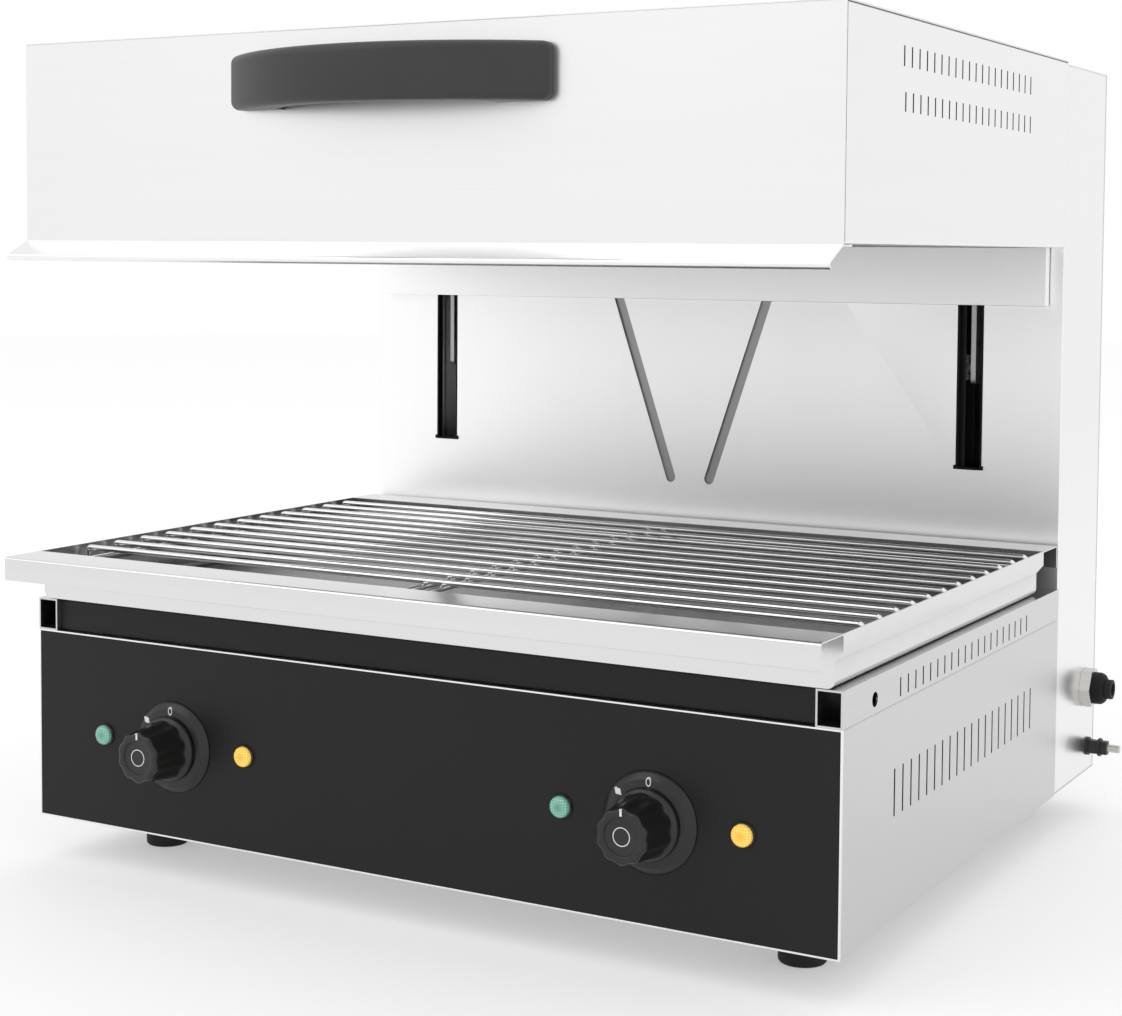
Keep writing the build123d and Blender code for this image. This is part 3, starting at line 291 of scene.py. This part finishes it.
STEEL_X = brushed_steel("stainless_brushed_across", "X")
STEEL_Y = brushed_steel("stainless_brushed_front_to_back", "Y")
STEEL_Z = brushed_steel("stainless_brushed_upright", "Z")
# Painted shade: a darker copy of the same stainless, for the tops of the column and the hood.
TOP_STEEL_PAINTED_SHADE = brushed_steel("stainless_top_painted_shade", "X", level=0.74)
# Painted shade: a darker copy of the same stainless, for the base's sides.
BASE_STEEL_PAINTED_SHADE = brushed_steel("stainless_base_side_painted_shade", "Y", level=0.61, rough=0.32)
# Painted shade: a darker copy of the same stainless, for the side rails.
RAIL_STEEL_PAINTED_SHADE = brushed_steel("stainless_rail_painted_shade", "Y", level=0.60, rough=0.26)
SHADED_STEEL = brushed_steel("stainless_in_the_dark", "Y", level=0.10, rough=0.45)
# Painted light: a paler copy of the same stainless, for the column's front and the rear apron.
BACK_STEEL_PAINTED_LIGHT = brushed_steel("stainless_column_face_painted_light", "Z", level=0.97, rough=0.36)
# Painted shade: a darker copy of the same stainless, inside the column's two grooves.
GROOVE_STEEL_PAINTED_SHADE = brushed_steel("stainless_groove_painted_shade", "Z", level=0.36, rough=0.40)
# Painted shade: a darker copy of the same stainless, for the column's back.
REAR_STEEL_PAINTED_SHADE = brushed_steel("stainless_rear_painted_shade", "Z", level=0.66, rough=0.34)
TRAY_STEEL = brushed_steel("tray_steel", "X", level=0.70, rough=0.22, contrast=0.07, relief=0.25)
TRAY_INSIDE_PAINTED_SHADE = tray_inside_painted_shade("tray_inside_painted_shade")
CHROME = plated("grid_chrome", 0.80, 0.10)
NICKEL = plated("nickel_plate", 0.62, 0.24, tint=(1.0, 0.98, 0.94))
PLATED_ROD = plated("plated_rod", 0.75, 0.08)
SCREW_STEEL = plated("screw_steel", 0.55, 0.30)
ZINC = galvanised("galvanised_sheet")
SHEATH = dark_sheath("element_sheath")
ENAMEL = satin_enamel("panel_enamel", 0.009, 0.40, specular=0.24)
# Painted shade: the guide rails are made black to stand for the shade inside the column; the bonding
# nuts use the same black.
BLACK_STEEL_AND_PAINTED_SHADE = satin_enamel("black_steel_and_painted_shade", 0.012, 0.40, specular=0.4)
SPRING_PAINT = satin_enamel("cylinder_paint", 0.014, 0.35, specular=0.4)
HANDLE_PLASTIC = moulded_plastic("handle_plastic", (0.028, 0.028, 0.028), 0.42, 0.4)
KNOB_PLASTIC = moulded_plastic("knob_plastic", (0.010, 0.010, 0.010), 0.30, 0.45, 1400.0, 0.02 * mm)
DIAL_PLASTIC = moulded_plastic("dial_plastic", (0.008, 0.008, 0.008), 0.28, 0.45, 1400.0, 0.02 * mm)
LINER_PLASTIC = moulded_plastic("liner_plastic", (0.006, 0.006, 0.006), 0.55, 0.2)
RUBBER = moulded_plastic("foot_rubber", (0.016, 0.016, 0.016), 0.62, 0.25, 500.0, 0.1 * mm)
THERMOSET = moulded_plastic("cream_thermoset", (0.52, 0.47, 0.38), 0.50, 0.4)
ACETAL = moulded_plastic("white_acetal", (0.78, 0.78, 0.75), 0.40, 0.4)
GREEN = lamp_glass("green_lens", (0.03, 0.20, 0.13, 1), (0.42, 0.80, 0.66, 1), 0.12)
AMBER = lamp_glass("amber_lens", (0.60, 0.25, 0.01, 1), (1.0, 0.80, 0.18, 1), 0.50)
BLANKET = fibre_blanket("ceramic_blanket")
PRINT = printed_white("white_print")


# ------------------------------------------------------------------ ways to make a piece
def middle(node):
    """The middle of a CAD node's box."""
    low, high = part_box(node)
    return (low + high) / 2


def piece_from(bm, name, material, node, replaces=True, sharp=32.0):
    """Turns a bmesh into a finished piece that rides and stands where its CAD node does."""
    mesh = bpy.data.meshes.new(name)
    bm.to_mesh(mesh)
    bm.free()
    mesh.shade_smooth()
    mesh.set_sharp_from_angle(angle=radians(sharp))
    mesh.materials.append(material)
    piece = bpy.data.objects.new(name, mesh)
    bpy.context.scene.collection.objects.link(piece)
    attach(piece, BODY_OF[node])
    if replaces:
        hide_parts(node)
    return piece


def soften(node, material, inner_material=None, is_inner=None):
    """A copy of a CAD node with its faces merged and its sharp edges rounded off.

    The faces that pass the test of is_inner have the inner material.
    """
    bm = bmesh.new()
    bm.from_mesh(frame["nodes"][node].data)
    bmesh.ops.remove_doubles(bm, verts=bm.verts, dist=1e-6)
    bmesh.ops.dissolve_limit(bm, angle_limit=radians(0.5), verts=bm.verts, edges=bm.edges)
    for face in bm.faces:
        face.material_index = 1 if is_inner and is_inner(face) else 0
    piece = piece_from(bm, node + "_finished", material, node)
    if inner_material:
        piece.data.materials.append(inner_material)
    edge = piece.modifiers.new("soft_edges", "BEVEL")
    edge.width = 0.3 * mm
    edge.segments = 2
    edge.limit_method = "ANGLE"
    edge.angle_limit = radians(40)
    edge.harden_normals = True
    edge.use_clamp_overlap = True


def facing_right(centre):
    """A matrix that puts a shape made about its own Z axis at a place, pointing to +X."""
    return Matrix.Translation(centre) @ Matrix.Rotation(pi / 2, 4, "Y")


def facing_front(centre):
    """The same for the controls: their own Z points out of the panel, and their Y points up."""
    return Matrix.Translation(centre) @ Matrix.Rotation(pi / 2, 4, "X")


def turned(bm, profile, where, steps):
    """Spins a profile of (radius, height) points about a place's Z axis."""
    before = set(bm.verts)
    verts = [bm.verts.new((radius, 0, height)) for radius, height in profile]
    edges = [bm.edges.new(pair) for pair in zip(verts, verts[1:])]
    bmesh.ops.spin(
        bm, geom=verts + edges, cent=(0, 0, 0), axis=(0, 0, 1), angle=2 * pi, steps=steps,
        use_merge=True, use_duplicate=False,
    )
    bmesh.ops.remove_doubles(bm, verts=[v for v in bm.verts if v not in before], dist=1e-6)
    new = [v for v in bm.verts if v not in before]
    bmesh.ops.recalc_face_normals(bm, faces=list({f for v in new for f in v.link_faces}))
    bmesh.ops.transform(bm, matrix=where, verts=new)
    return new


def raised_mark(bm, outline, height, thickness, where):
    """A thin raised mark with this outline, on a plane across a place's Z axis."""
    verts = [bm.verts.new((x, y, height)) for x, y in outline]
    lifted = bmesh.ops.extrude_face_region(bm, geom=[bm.faces.new(verts)])["geom"]
    top = [v for v in lifted if isinstance(v, bmesh.types.BMVert)]
    bmesh.ops.translate(bm, verts=top, vec=(0, 0, thickness))
    whole = verts + top
    bmesh.ops.recalc_face_normals(bm, faces=list({f for v in whole for f in v.link_faces}))
    bmesh.ops.transform(bm, matrix=where, verts=whole)


def raised_ring(bm, half_width, half_height, stroke, height, thickness, where, steps):
    """A thin raised ring or nought about a place's Z axis."""
    profile = [(1, 0), (1, 1), (1 - stroke, 1), (1 - stroke, 0), (1, 0)]
    shape = where @ Matrix.Translation((0, 0, height)) @ Matrix.Diagonal(
        (half_width, half_height, thickness, 1)
    )
    turned(bm, profile, shape, steps)


def bent(points, radius, count=6, closed=False):
    """A route of straight runs whose corners are rounded to one radius."""
    points = [Vector(p) for p in points]
    route = []
    for number, corner in enumerate(points):
        if not closed and number in (0, len(points) - 1):
            route.append(corner)
            continue
        before, after = points[number - 1], points[(number + 1) % len(points)]
        back = (before - corner).normalized()
        on = (after - corner).normalized()
        half = back.angle(on) / 2
        reach = radius / tan(half)
        centre = corner + (back + on).normalized() * (radius / sin(half))
        start, end = corner + back * reach - centre, corner + on * reach - centre
        for step in range(count + 1):
            route.append(centre + start.slerp(end, step / count).normalized() * radius)
    return route


def round_wires(node, routes, radii, material, closed=()):
    """Round wires along routes of points, in one piece instead of a CAD node."""
    bm = bmesh.new()
    for number, route in enumerate(routes):
        curve = bpy.data.curves.new(node + "_line", "CURVE")
        curve.dimensions = "3D"
        curve.bevel_depth = radii[number]
        curve.bevel_resolution = 3
        curve.use_fill_caps = True
        spline = curve.splines.new("POLY")
        spline.points.add(len(route) - 1)
        for point, place in zip(spline.points, route):
            point.co = (*place, 1.0)
        spline.use_cyclic_u = number in closed
        source = bpy.data.objects.new(node + "_line", curve)
        mesh = bpy.data.meshes.new_from_object(source)
        bpy.data.objects.remove(source)
        bm.from_mesh(mesh)
        bpy.data.meshes.remove(mesh)
    bmesh.ops.remove_doubles(bm, verts=bm.verts, dist=1e-7)
    piece_from(bm, node + "_bent", material, node, sharp=50.0)


# ------------------------------------------------------------------ sheets, screws and fittings
FINISH_OF = {
    "base_deck": STEEL_X, "front_chassis": STEEL_X, "front_panel": ENAMEL, "cross_panel": ENAMEL,
    "column_side_right": STEEL_Z, "column_side_left": STEEL_Z, "column_top": TOP_STEEL_PAINTED_SHADE,
    "hood_front": STEEL_X, "hood_top": TOP_STEEL_PAINTED_SHADE, "hood_back": STEEL_X, "rear_apron": BACK_STEEL_PAINTED_LIGHT,
    "deflector_lip": STEEL_X, "heat_reflector": STEEL_X, "base_pan": ZINC,
    # The guide rails' black is painted shade for the inside of the column.
    "guide_rails": BLACK_STEEL_AND_PAINTED_SHADE, "spring_bracket": ZINC, "carriage_beam": ZINC, "lift_arms": ZINC,
    "element_hangers": ZINC, "slot_liners": LINER_PLASTIC, "regulators": THERMOSET,
    "terminal_block": THERMOSET, "insulation": BLANKET, "rail_screws": SCREW_STEEL,
    "back_screws": SCREW_STEEL, "handle_screws": SCREW_STEEL, "foot_nuts": SCREW_STEEL,
    "gland_locknut": NICKEL, "roller_axles": SCREW_STEEL, "control_shaft_left": SCREW_STEEL,
    "control_shaft_right": SCREW_STEEL, "lift_spring_cylinders": SPRING_PAINT,
    "lift_spring_rods": PLATED_ROD, "bonding_stud": NICKEL, "bonding_nuts": BLACK_STEEL_AND_PAINTED_SHADE,
    "gland_body": NICKEL, "gland_seal": RUBBER, "roller_lower_left": ACETAL,
    "roller_upper_left": ACETAL, "roller_lower_right": ACETAL, "roller_upper_right": ACETAL,
}
LOUVRED = {
    "base_side_right": BASE_STEEL_PAINTED_SHADE, "base_side_left": BASE_STEEL_PAINTED_SHADE, "hood_side_right": STEEL_Y,
    "hood_side_left": STEEL_Y, "column_back": REAR_STEEL_PAINTED_SHADE,
}


def in_the_well(face):
    """Is this face of the drip tray inside its well?"""
    low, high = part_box("drip_tray")
    lip, sheet, slack = 33 * mm, 0.4 * mm, 1 * mm
    centre = face.calc_center_median()
    inward = Vector((middle("drip_tray").x, middle("drip_tray").y, high.z)) - centre
    return (
        low.x + slack < centre.x < high.x - slack
        and low.y + lip - slack < centre.y < high.y - lip + slack
        and centre.z < high.z - sheet
        and face.normal.dot(inward) > 0
    )


def in_a_rail(face):
    """Is this face inside one of the tubes of the rails, or a wall of their slots?"""
    low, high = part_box("side_rails")
    tube_middle, half_width, half_height = 8.25 * mm, 8.2 * mm, 10.5 * mm
    centre = face.calc_center_median()
    on_the_right = centre.x > middle("side_rails").x
    tube_x = high.x - tube_middle if on_the_right else low.x + tube_middle
    inward = Vector((tube_x, centre.y, middle("side_rails").z)) - centre
    within = abs(inward.x) < half_width and abs(inward.z) < half_height
    return abs(face.normal.y) < 0.5 and (face.normal.dot(inward) > 0 or within)


def in_a_groove(face):
    """Is this face of the column's front inside one of its two pressed grooves?"""
    low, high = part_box("column_front")
    reach, margin, skin = 120 * mm, 30 * mm, 0.05 * mm
    centre = face.calc_center_median()
    return (
        abs(centre.x - middle("column_front").x) < reach
        and low.z + margin < centre.z < high.z - margin
        and low.y + skin < centre.y < high.y - skin
    )


def in_a_slot(node):
    """Tells which faces of a louvred sheet are the walls of its slots."""
    low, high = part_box(node)
    margin = 4 * mm
    across = min(range(3), key=lambda axis: high[axis] - low[axis])
    others = [axis for axis in range(3) if axis != across]

    def test(face):
        centre = face.calc_center_median()
        return abs(face.normal[across]) < 0.5 and all(
            low[axis] + margin < centre[axis] < high[axis] - margin for axis in others
        )

    return test


for plain_node, plain_finish in FINISH_OF.items():
    soften(plain_node, plain_finish)
# Painted shade: the faces inside the tray's well take the darkened inner steel.
soften("drip_tray", TRAY_STEEL, TRAY_INSIDE_PAINTED_SHADE, in_the_well)
soften("side_rails", RAIL_STEEL_PAINTED_SHADE, SHADED_STEEL, in_a_rail)
# Painted light and shade: the column's front takes the paler copy of the stainless, and its grooves
# the darker one.
soften("column_front", BACK_STEEL_PAINTED_LIGHT, GROOVE_STEEL_PAINTED_SHADE, in_a_groove)
for louvred_node, louvred_finish in LOUVRED.items():
    soften(louvred_node, louvred_finish, SHADED_STEEL, in_a_slot(louvred_node))


# ------------------------------------------------------------------ controls
def dials():
    """The dial plates with their wide chamfer, and the nought and the diamond on each."""
    low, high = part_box("dial_plates")
    radius = (high.z - low.z) / 2
    thick = high.y - low.y
    bore, proud = 5.2 * mm, 0.05 * mm
    nought_x, nought_y, nought_width, nought_height = 1.0 * mm, 25.2 * mm, 3.4 * mm, 5.6 * mm
    diamond_y, diamond_width, diamond_height = 25.6 * mm, 4.4 * mm, 6.4 * mm
    diamond_turn = radians(48)
    nought_root, diamond_root = thick - 1.9 * mm, thick - 2.6 * mm
    profile = [
        (bore, 0), (radius - 0.6 * mm, 0), (radius, 0.5 * mm), (radius - 0.2 * mm, 1.0 * mm),
        (radius - 1.4 * mm, 1.9 * mm), (radius - 4.2 * mm, thick - 0.35 * mm),
        (radius - 5.0 * mm, thick), (bore, thick), (bore, 0),
    ]
    diamond = [
        (-diamond_width / 2, diamond_y), (0, diamond_y - diamond_height / 2),
        (diamond_width / 2, diamond_y), (0, diamond_y + diamond_height / 2),
    ]
    plates, marks = bmesh.new(), bmesh.new()
    for x in (low.x + radius, high.x - radius):
        place = facing_front((x, high.y, middle("dial_plates").z))
        turned(plates, profile, place, steps=96)
        raised_ring(
            marks, nought_width / 2, nought_height / 2, 0.3, nought_root, thick + proud - nought_root,
            place @ Matrix.Translation((nought_x, nought_y, 0)), steps=24,
        )
        raised_mark(
            marks, diamond, diamond_root, thick + proud - diamond_root,
            place @ Matrix.Rotation(diamond_turn, 4, "Z"),
        )
    piece_from(plates, "dial_plates_turned", DIAL_PLASTIC, "dial_plates", sharp=60)
    piece_from(marks, "dial_marks", PRINT, "dial_plates", replaces=False)


def knob(node):
    """A skirted knob with shallow lobes round its tapering grip, and a sunken disc in its face."""
    low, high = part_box(node)
    length = high.y - low.y
    bore, skirt, skirt_top = 3.1 * mm, (high.z - low.z) / 2, 2.6 * mm
    foot, face, disc = 19.4 * mm, 16.9 * mm, 10.4 * mm
    grip_low, grip_high, disc_z = 5.2 * mm, length - 1.4 * mm, length - 1.2 * mm
    place = facing_front((middle(node).x, high.y, middle(node).z))
    profile = [
        (bore, 0), (skirt - 0.5 * mm, 0), (skirt, 0.5 * mm), (skirt, skirt_top),
        (skirt - 0.7 * mm, skirt_top + 1.0 * mm), (skirt - 1.6 * mm, skirt_top + 1.6 * mm),
        (foot + 0.4 * mm, skirt_top + 2.0 * mm),
    ]
    levels = 12
    for number in range(levels + 1):
        share = number / levels
        profile.append((foot + (face - foot) * share, grip_low + (grip_high - grip_low) * share))
    profile += [
        (face - 0.5 * mm, length - 0.7 * mm), (face - 1.3 * mm, length - 0.15 * mm),
        (face - 2.2 * mm, length), (disc + 1.2 * mm, length),
        (disc + 0.8 * mm, length - 0.25 * mm), (disc + 0.5 * mm, disc_z + 0.1 * mm),
        (disc, disc_z), (0, disc_z),
    ]
    lobes, lobe_depth, lobe_low, lobe_fade = 10, 1.1 * mm, 4.4 * mm, 2.5 * mm
    inmost = 13 * mm
    bm = bmesh.new()
    for vert in turned(bm, profile, Matrix.Identity(4), steps=lobes * 16):
        around = vert.co.xy
        if around.length > inmost and vert.co.z > lobe_low:
            hollow = 0.5 - 0.5 * cos(around.angle_signed(Vector((0, 1))) * lobes)
            fade = min(1.0, (vert.co.z - lobe_low) / lobe_fade)
            vert.co.xy = around * (1 - lobe_depth * hollow * fade / around.length)
    bmesh.ops.transform(bm, matrix=place, verts=bm.verts)
    piece_from(bm, node + "_moulded", KNOB_PLASTIC, node, sharp=50)
    knob_marks(node, place, length, disc_z)


def knob_marks(node, place, length, disc_z):
    """A knob's pointer line, over its face and down its side, and the ring on its disc."""
    half, proud, sunk = 0.7 * mm, 0.05 * mm, 0.5 * mm
    line_from, line_to, side_from, side_to = 12.2 * mm, 16.3 * mm, 12 * mm, length - 0.6 * mm
    side_y, taper = 18.85 * mm, radians(4.4)
    ring, ring_root, ring_height = 5.6 * mm, disc_z - proud, 0.15 * mm
    marks = bmesh.new()
    line = [(-half, line_from), (half, line_from), (half, line_to), (-half, line_to)]
    raised_mark(marks, line, length - sunk, sunk + proud, place)
    side = [(-half, side_from), (half, side_from), (half, side_to), (-half, side_to)]
    lean = place @ Matrix.Rotation(taper, 4, "X") @ Matrix.Translation((0, side_y, 0))
    raised_mark(marks, side, 0, sunk, lean @ Matrix.Rotation(pi / 2, 4, "X"))
    raised_ring(marks, ring, ring, 0.09, ring_root, ring_height, place, steps=48)
    piece_from(marks, node + "_marks", PRINT, node, replaces=False)


def lamps():
    """Thin dark bezels with domed lenses pressed with a grid of tiny pyramids."""
    barrel, depth, seat, lens_edge, dome_rise = 5.8 * mm, 18 * mm, 0.65 * mm, 2.4 * mm, 2.0 * mm
    levels = 8
    bezel = bmesh.new()
    face_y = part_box("front_panel")[0].y
    for node, glass in (("lamp_lenses_green", GREEN), ("lamp_lenses_amber", AMBER)):
        low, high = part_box(node)
        radius = (high.z - low.z) / 2
        rim = radius + 1.3 * mm
        bezel_profile = [
            (0, -depth), (barrel, -depth), (barrel, 0.05 * mm), (rim, 0.05 * mm),
            (rim, 0.7 * mm), (rim - 0.5 * mm, 1.4 * mm), (radius + 0.3 * mm, 1.5 * mm),
            (radius + 0.1 * mm, seat), (0, seat),
        ]
        dome = [(0, seat), (radius, seat), (radius, lens_edge)]
        for number in range(1, levels + 1):
            turn = pi / 2 * number / levels
            dome.append((radius * cos(turn), lens_edge + dome_rise * sin(turn)))
        lens = bmesh.new()
        for x in (low.x + radius, high.x - radius):
            place = facing_front((x, face_y, middle(node).z))
            turned(bezel, bezel_profile, place, steps=48)
            turned(lens, dome, place, steps=48)
        piece_from(lens, node + "_domed", glass, node)
    piece_from(bezel, "lamp_bezels_turned", DIAL_PLASTIC, "lamp_bezels")


dials()
knob("knob_left")
knob("knob_right")
lamps()


# ------------------------------------------------------------------ handle
def arch(centre_x, half_chord, ends_y, crown_y, count):
    """Points of a level arc from its right end over the crown to its left end."""
    rise = ends_y - crown_y
    radius = (half_chord ** 2 + rise ** 2) / (2 * rise)
    places = [half_chord * (1 - 2 * number / count) for number in range(count + 1)]
    return [(centre_x + x, crown_y + radius - (radius ** 2 - x ** 2) ** 0.5) for x in places]


def handle():
    """A bow handle: an arched bar on two flat feet, whose outer edges are well rounded."""
    low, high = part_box("handle")
    centre_x = middle("handle").x
    half = (high.x - low.x) / 2
    foot, grip, corner, rounding = 37 * mm, 16 * mm, 6.5 * mm, 5.5 * mm
    end_y, step_y = high.y - 8 * mm, high.y - 3 * mm
    outer = arch(centre_x, half, end_y, low.y, 60)[3:-3]
    corners = []
    for side, beyond in ((1, outer[0]), (-1, outer[-1])):
        end = centre_x + side * half
        turn = bent([(end, high.y, 0), (end, end_y, 0), (*beyond, 0)], corner)
        corners.append([point.xy for point in turn[:-1]])
    outline = corners[0] + outer + corners[1][::-1] + [(centre_x - half + foot, high.y)]
    outline += arch(centre_x, half - foot, step_y, low.y + grip, 36)[::-1]
    outline += [(centre_x + half - foot, high.y)]
    bm = bmesh.new()
    face = bm.faces.new([bm.verts.new((x, y, low.z)) for x, y in outline])
    lifted = bmesh.ops.extrude_face_region(bm, geom=[face])["geom"]
    top = [v for v in lifted if isinstance(v, bmesh.types.BMVert)]
    bmesh.ops.translate(bm, verts=top, vec=(0, 0, high.z - low.z))
    bmesh.ops.recalc_face_normals(bm, faces=bm.faces)
    rims = [
        e for e in bm.edges
        if abs(e.verts[0].co.z - e.verts[1].co.z) < 1e-6
        and not all(abs(v.co.y - high.y) < 1e-5 for v in e.verts)
        and not all(abs(abs(v.co.x - centre_x) - half + foot) < 1e-4 for v in e.verts)
    ]
    bmesh.ops.bevel(
        bm, geom=rims, offset=rounding, segments=6, profile=0.5, affect="EDGES", material=-1,
        clamp_overlap=False,
    )
    piece_from(bm, "handle_bow", HANDLE_PLASTIC, "handle", sharp=40)


handle()


# ------------------------------------------------------------------ wire grid and elements
def wire_grid():
    """Twelve cross wires over a bent frame wire, with two wires under them down the middle."""
    low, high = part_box("wire_grid")
    cross, rim, count = 2.0 * mm, 2.5 * mm, 12
    centre_gap, bite, lean = 14 * mm, 0.3 * mm, 0.4 * mm
    frame_bend, cross_bend, under_bend = 12 * mm, 3.0 * mm, 1.5 * mm
    left, right, front, back = low.x + rim, high.x - rim, low.y + rim, high.y - rim
    first, last = front + 29.5 * mm, back - 13.2 * mm
    frame_z, top_z = low.z + rim, high.z - cross
    under_z = top_z - 2 * cross + bite
    corners = [(left, front), (right, front), (right, back), (left, back)]
    routes = [bent([(x, y, frame_z) for x, y in corners], frame_bend, closed=True)]
    for number in range(count):
        y = first + (last - first) * number / (count - 1)
        routes.append(bent(
            [(left, y, frame_z + bite), (left + lean, y, top_z), (right - lean, y, top_z),
             (right, y, frame_z + bite)],
            cross_bend, count=5,
        ))
    for side in (-1, 1):
        x = middle("wire_grid").x + side * centre_gap / 2
        routes.append(bent(
            [(x, front, frame_z), (x, front + bite, under_z), (x, back - bite, under_z),
             (x, back, frame_z)],
            under_bend, count=4,
        ))
    round_wires("wire_grid", routes, [rim] + [cross] * (count + 2), CHROME, closed={0})


def heating_elements():
    """Two tubular elements, each bent into six runs with both ends at the back."""
    low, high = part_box("heating_elements")
    centre = middle("heating_elements")
    tube, pitch, runs = 4.0 * mm, 46 * mm, 6
    bend = pitch / 2 - 0.5 * mm
    front, back = low.y + tube, high.y - tube
    outer = (high.x - low.x) / 2 - tube
    routes = []
    for side in (-1, 1):
        points = []
        for number in range(runs):
            x = centre.x + side * (outer - number * pitch)
            run = [(x, back, centre.z), (x, front, centre.z)]
            points += run if number % 2 == 0 else run[::-1]
        routes.append(bent(points, bend, count=10))
    round_wires("heating_elements", routes, [tube, tube], SHEATH)


wire_grid()
heating_elements()


# ------------------------------------------------------------------ feet and gland
def feet():
    """Rubber feet with a rounded heel, a groove near the top and a threaded stud."""
    low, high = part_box("feet")
    radius, top, stud = 15 * mm, 31 * mm, 3.9 * mm
    groove_low, groove_high, groove_depth = 20 * mm, 23.2 * mm, 0.8 * mm
    profile = [
        (0, 0), (radius - 2.4 * mm, 0), (radius - 1.0 * mm, 0.35 * mm),
        (radius - 0.25 * mm, 1.2 * mm), (radius, 2.6 * mm), (radius, groove_low),
        (radius - groove_depth, groove_low + groove_depth),
        (radius - groove_depth, groove_high - groove_depth), (radius, groove_high),
        (radius, top - 1.6 * mm), (radius - 0.6 * mm, top - 1.0 * mm), (stud, top - 1.0 * mm),
        (stud, high.z), (0, high.z),
    ]
    bm = bmesh.new()
    for x in (low.x + radius, high.x - radius):
        for y in (low.y + radius, high.y - radius):
            turned(bm, profile, Matrix.Translation((x, y, 0)), steps=64)
    piece_from(bm, "feet_turned", RUBBER, "feet")


def gland_cap():
    """The gland's black cap, with its rounded end closed round the seal."""
    low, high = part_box("gland_cap")
    centre = middle("gland_cap")
    radius = (high.z - low.z) / 2
    length = high.x - low.x
    bore = 7.6 * mm
    profile = [
        (bore, 0), (radius, 0), (radius, length * 0.55), (radius - 0.5 * mm, length * 0.72),
        (radius - 1.6 * mm, length * 0.9), (radius - 3.0 * mm, length), (bore + 0.2 * mm, length),
        (bore, length - 0.4 * mm), (bore, 0),
    ]
    bm = bmesh.new()
    turned(bm, profile, facing_right((low.x, centre.y, centre.z)), steps=48)
    piece_from(bm, "gland_cap_turned", LINER_PLASTIC, "gland_cap")


feet()
gland_cap()


# ------------------------------------------------------------------ studio
def studio_floor():
    """A pale floor that the camera sees as white, apart from the soft shadow on it."""
    bm = bmesh.new()
    bmesh.ops.create_circle(bm, cap_ends=True, segments=96, radius=9.0)
    mesh = bpy.data.meshes.new("studio_floor")
    bm.to_mesh(mesh)
    bm.free()
    floor = bpy.data.objects.new("studio_floor", mesh)
    bpy.context.scene.collection.objects.link(floor)
    finish = Finish("floor_paint")
    direct, mirrored, through = (
        finish.node("ShaderNodeLightPath", output=ray)
        for ray in ("Is Camera Ray", "Is Glossy Ray", "Is Transmission Ray")
    )
    seen = finish.node("ShaderNodeMath", {"operation": "MINIMUM"}, {
        0: direct + mirrored + through, 1: 1.0,
    })
    paint = finish.node("ShaderNodeBsdfDiffuse", {}, {"Color": grey(0.97)})
    glow = finish.node("ShaderNodeEmission", {}, {"Color": grey(1.0), "Strength": 1.0})
    share_of_glow = 0.35
    mesh.materials.append(finish.done(finish.node("ShaderNodeMixShader", {}, {
        0: seen * share_of_glow, 1: paint, 2: glow,
    })))


def studio_world():
    """A white room all round."""
    world = bpy.data.worlds.new("studio")
    world.use_nodes = True
    bpy.context.scene.world = world
    room = Finish("studio", world.node_tree)
    white = room.node("ShaderNodeBackground", {}, {"Color": grey(1.0), "Strength": 1.0})
    room.done(white, "ShaderNodeOutputWorld")


def soft_light(name, place, aim, size, watts):
    """A soft box at a place in metres, turned towards a point."""
    light = bpy.data.lights.new(name, "AREA")
    light.shape = "RECTANGLE"
    light.size, light.size_y = size
    light.energy = watts
    lamp = bpy.data.objects.new(name, light)
    lamp.location = place
    lamp.rotation_euler = (Vector(aim) - Vector(place)).to_track_quat("-Z", "Y").to_euler()
    bpy.context.scene.collection.objects.link(lamp)


def studio_camera():
    """The photograph's camera: its place, its turn to the left and its slight downward tilt."""
    data = bpy.data.cameras.new("camera")
    data.sensor_width = 36.0
    data.lens = 67.2
    data.shift_y = -0.125
    data.clip_start, data.clip_end = 0.05, 60.0
    camera = bpy.data.objects.new("camera", data)
    yaw, pitch, roll = radians(29.63), radians(3.22), radians(0.39)
    camera.matrix_world = (
        Matrix.Translation((0.721, -1.3135, 0.428))
        @ Matrix.Rotation(yaw, 4, "Z")
        @ Matrix.Rotation(pi / 2 - pitch, 4, "X")
        @ Matrix.Rotation(roll, 4, "Z")
    )
    bpy.context.scene.collection.objects.link(camera)
    bpy.context.scene.camera = camera


studio_floor()
studio_world()
soft_light("key", (-1.6, -2.2, 2.4), (0, 0, 0.25), (2.2, 2.2), 14)
soft_light("fill", (2.6, -1.0, 1.6), (0, 0, 0.25), (2.0, 2.4), 5)
soft_light("top", (0, 0.2, 3.0), (0, 0, 0.3), (2.4, 2.4), 8)
studio_camera()
bpy.context.scene.view_settings.view_transform = "Standard"
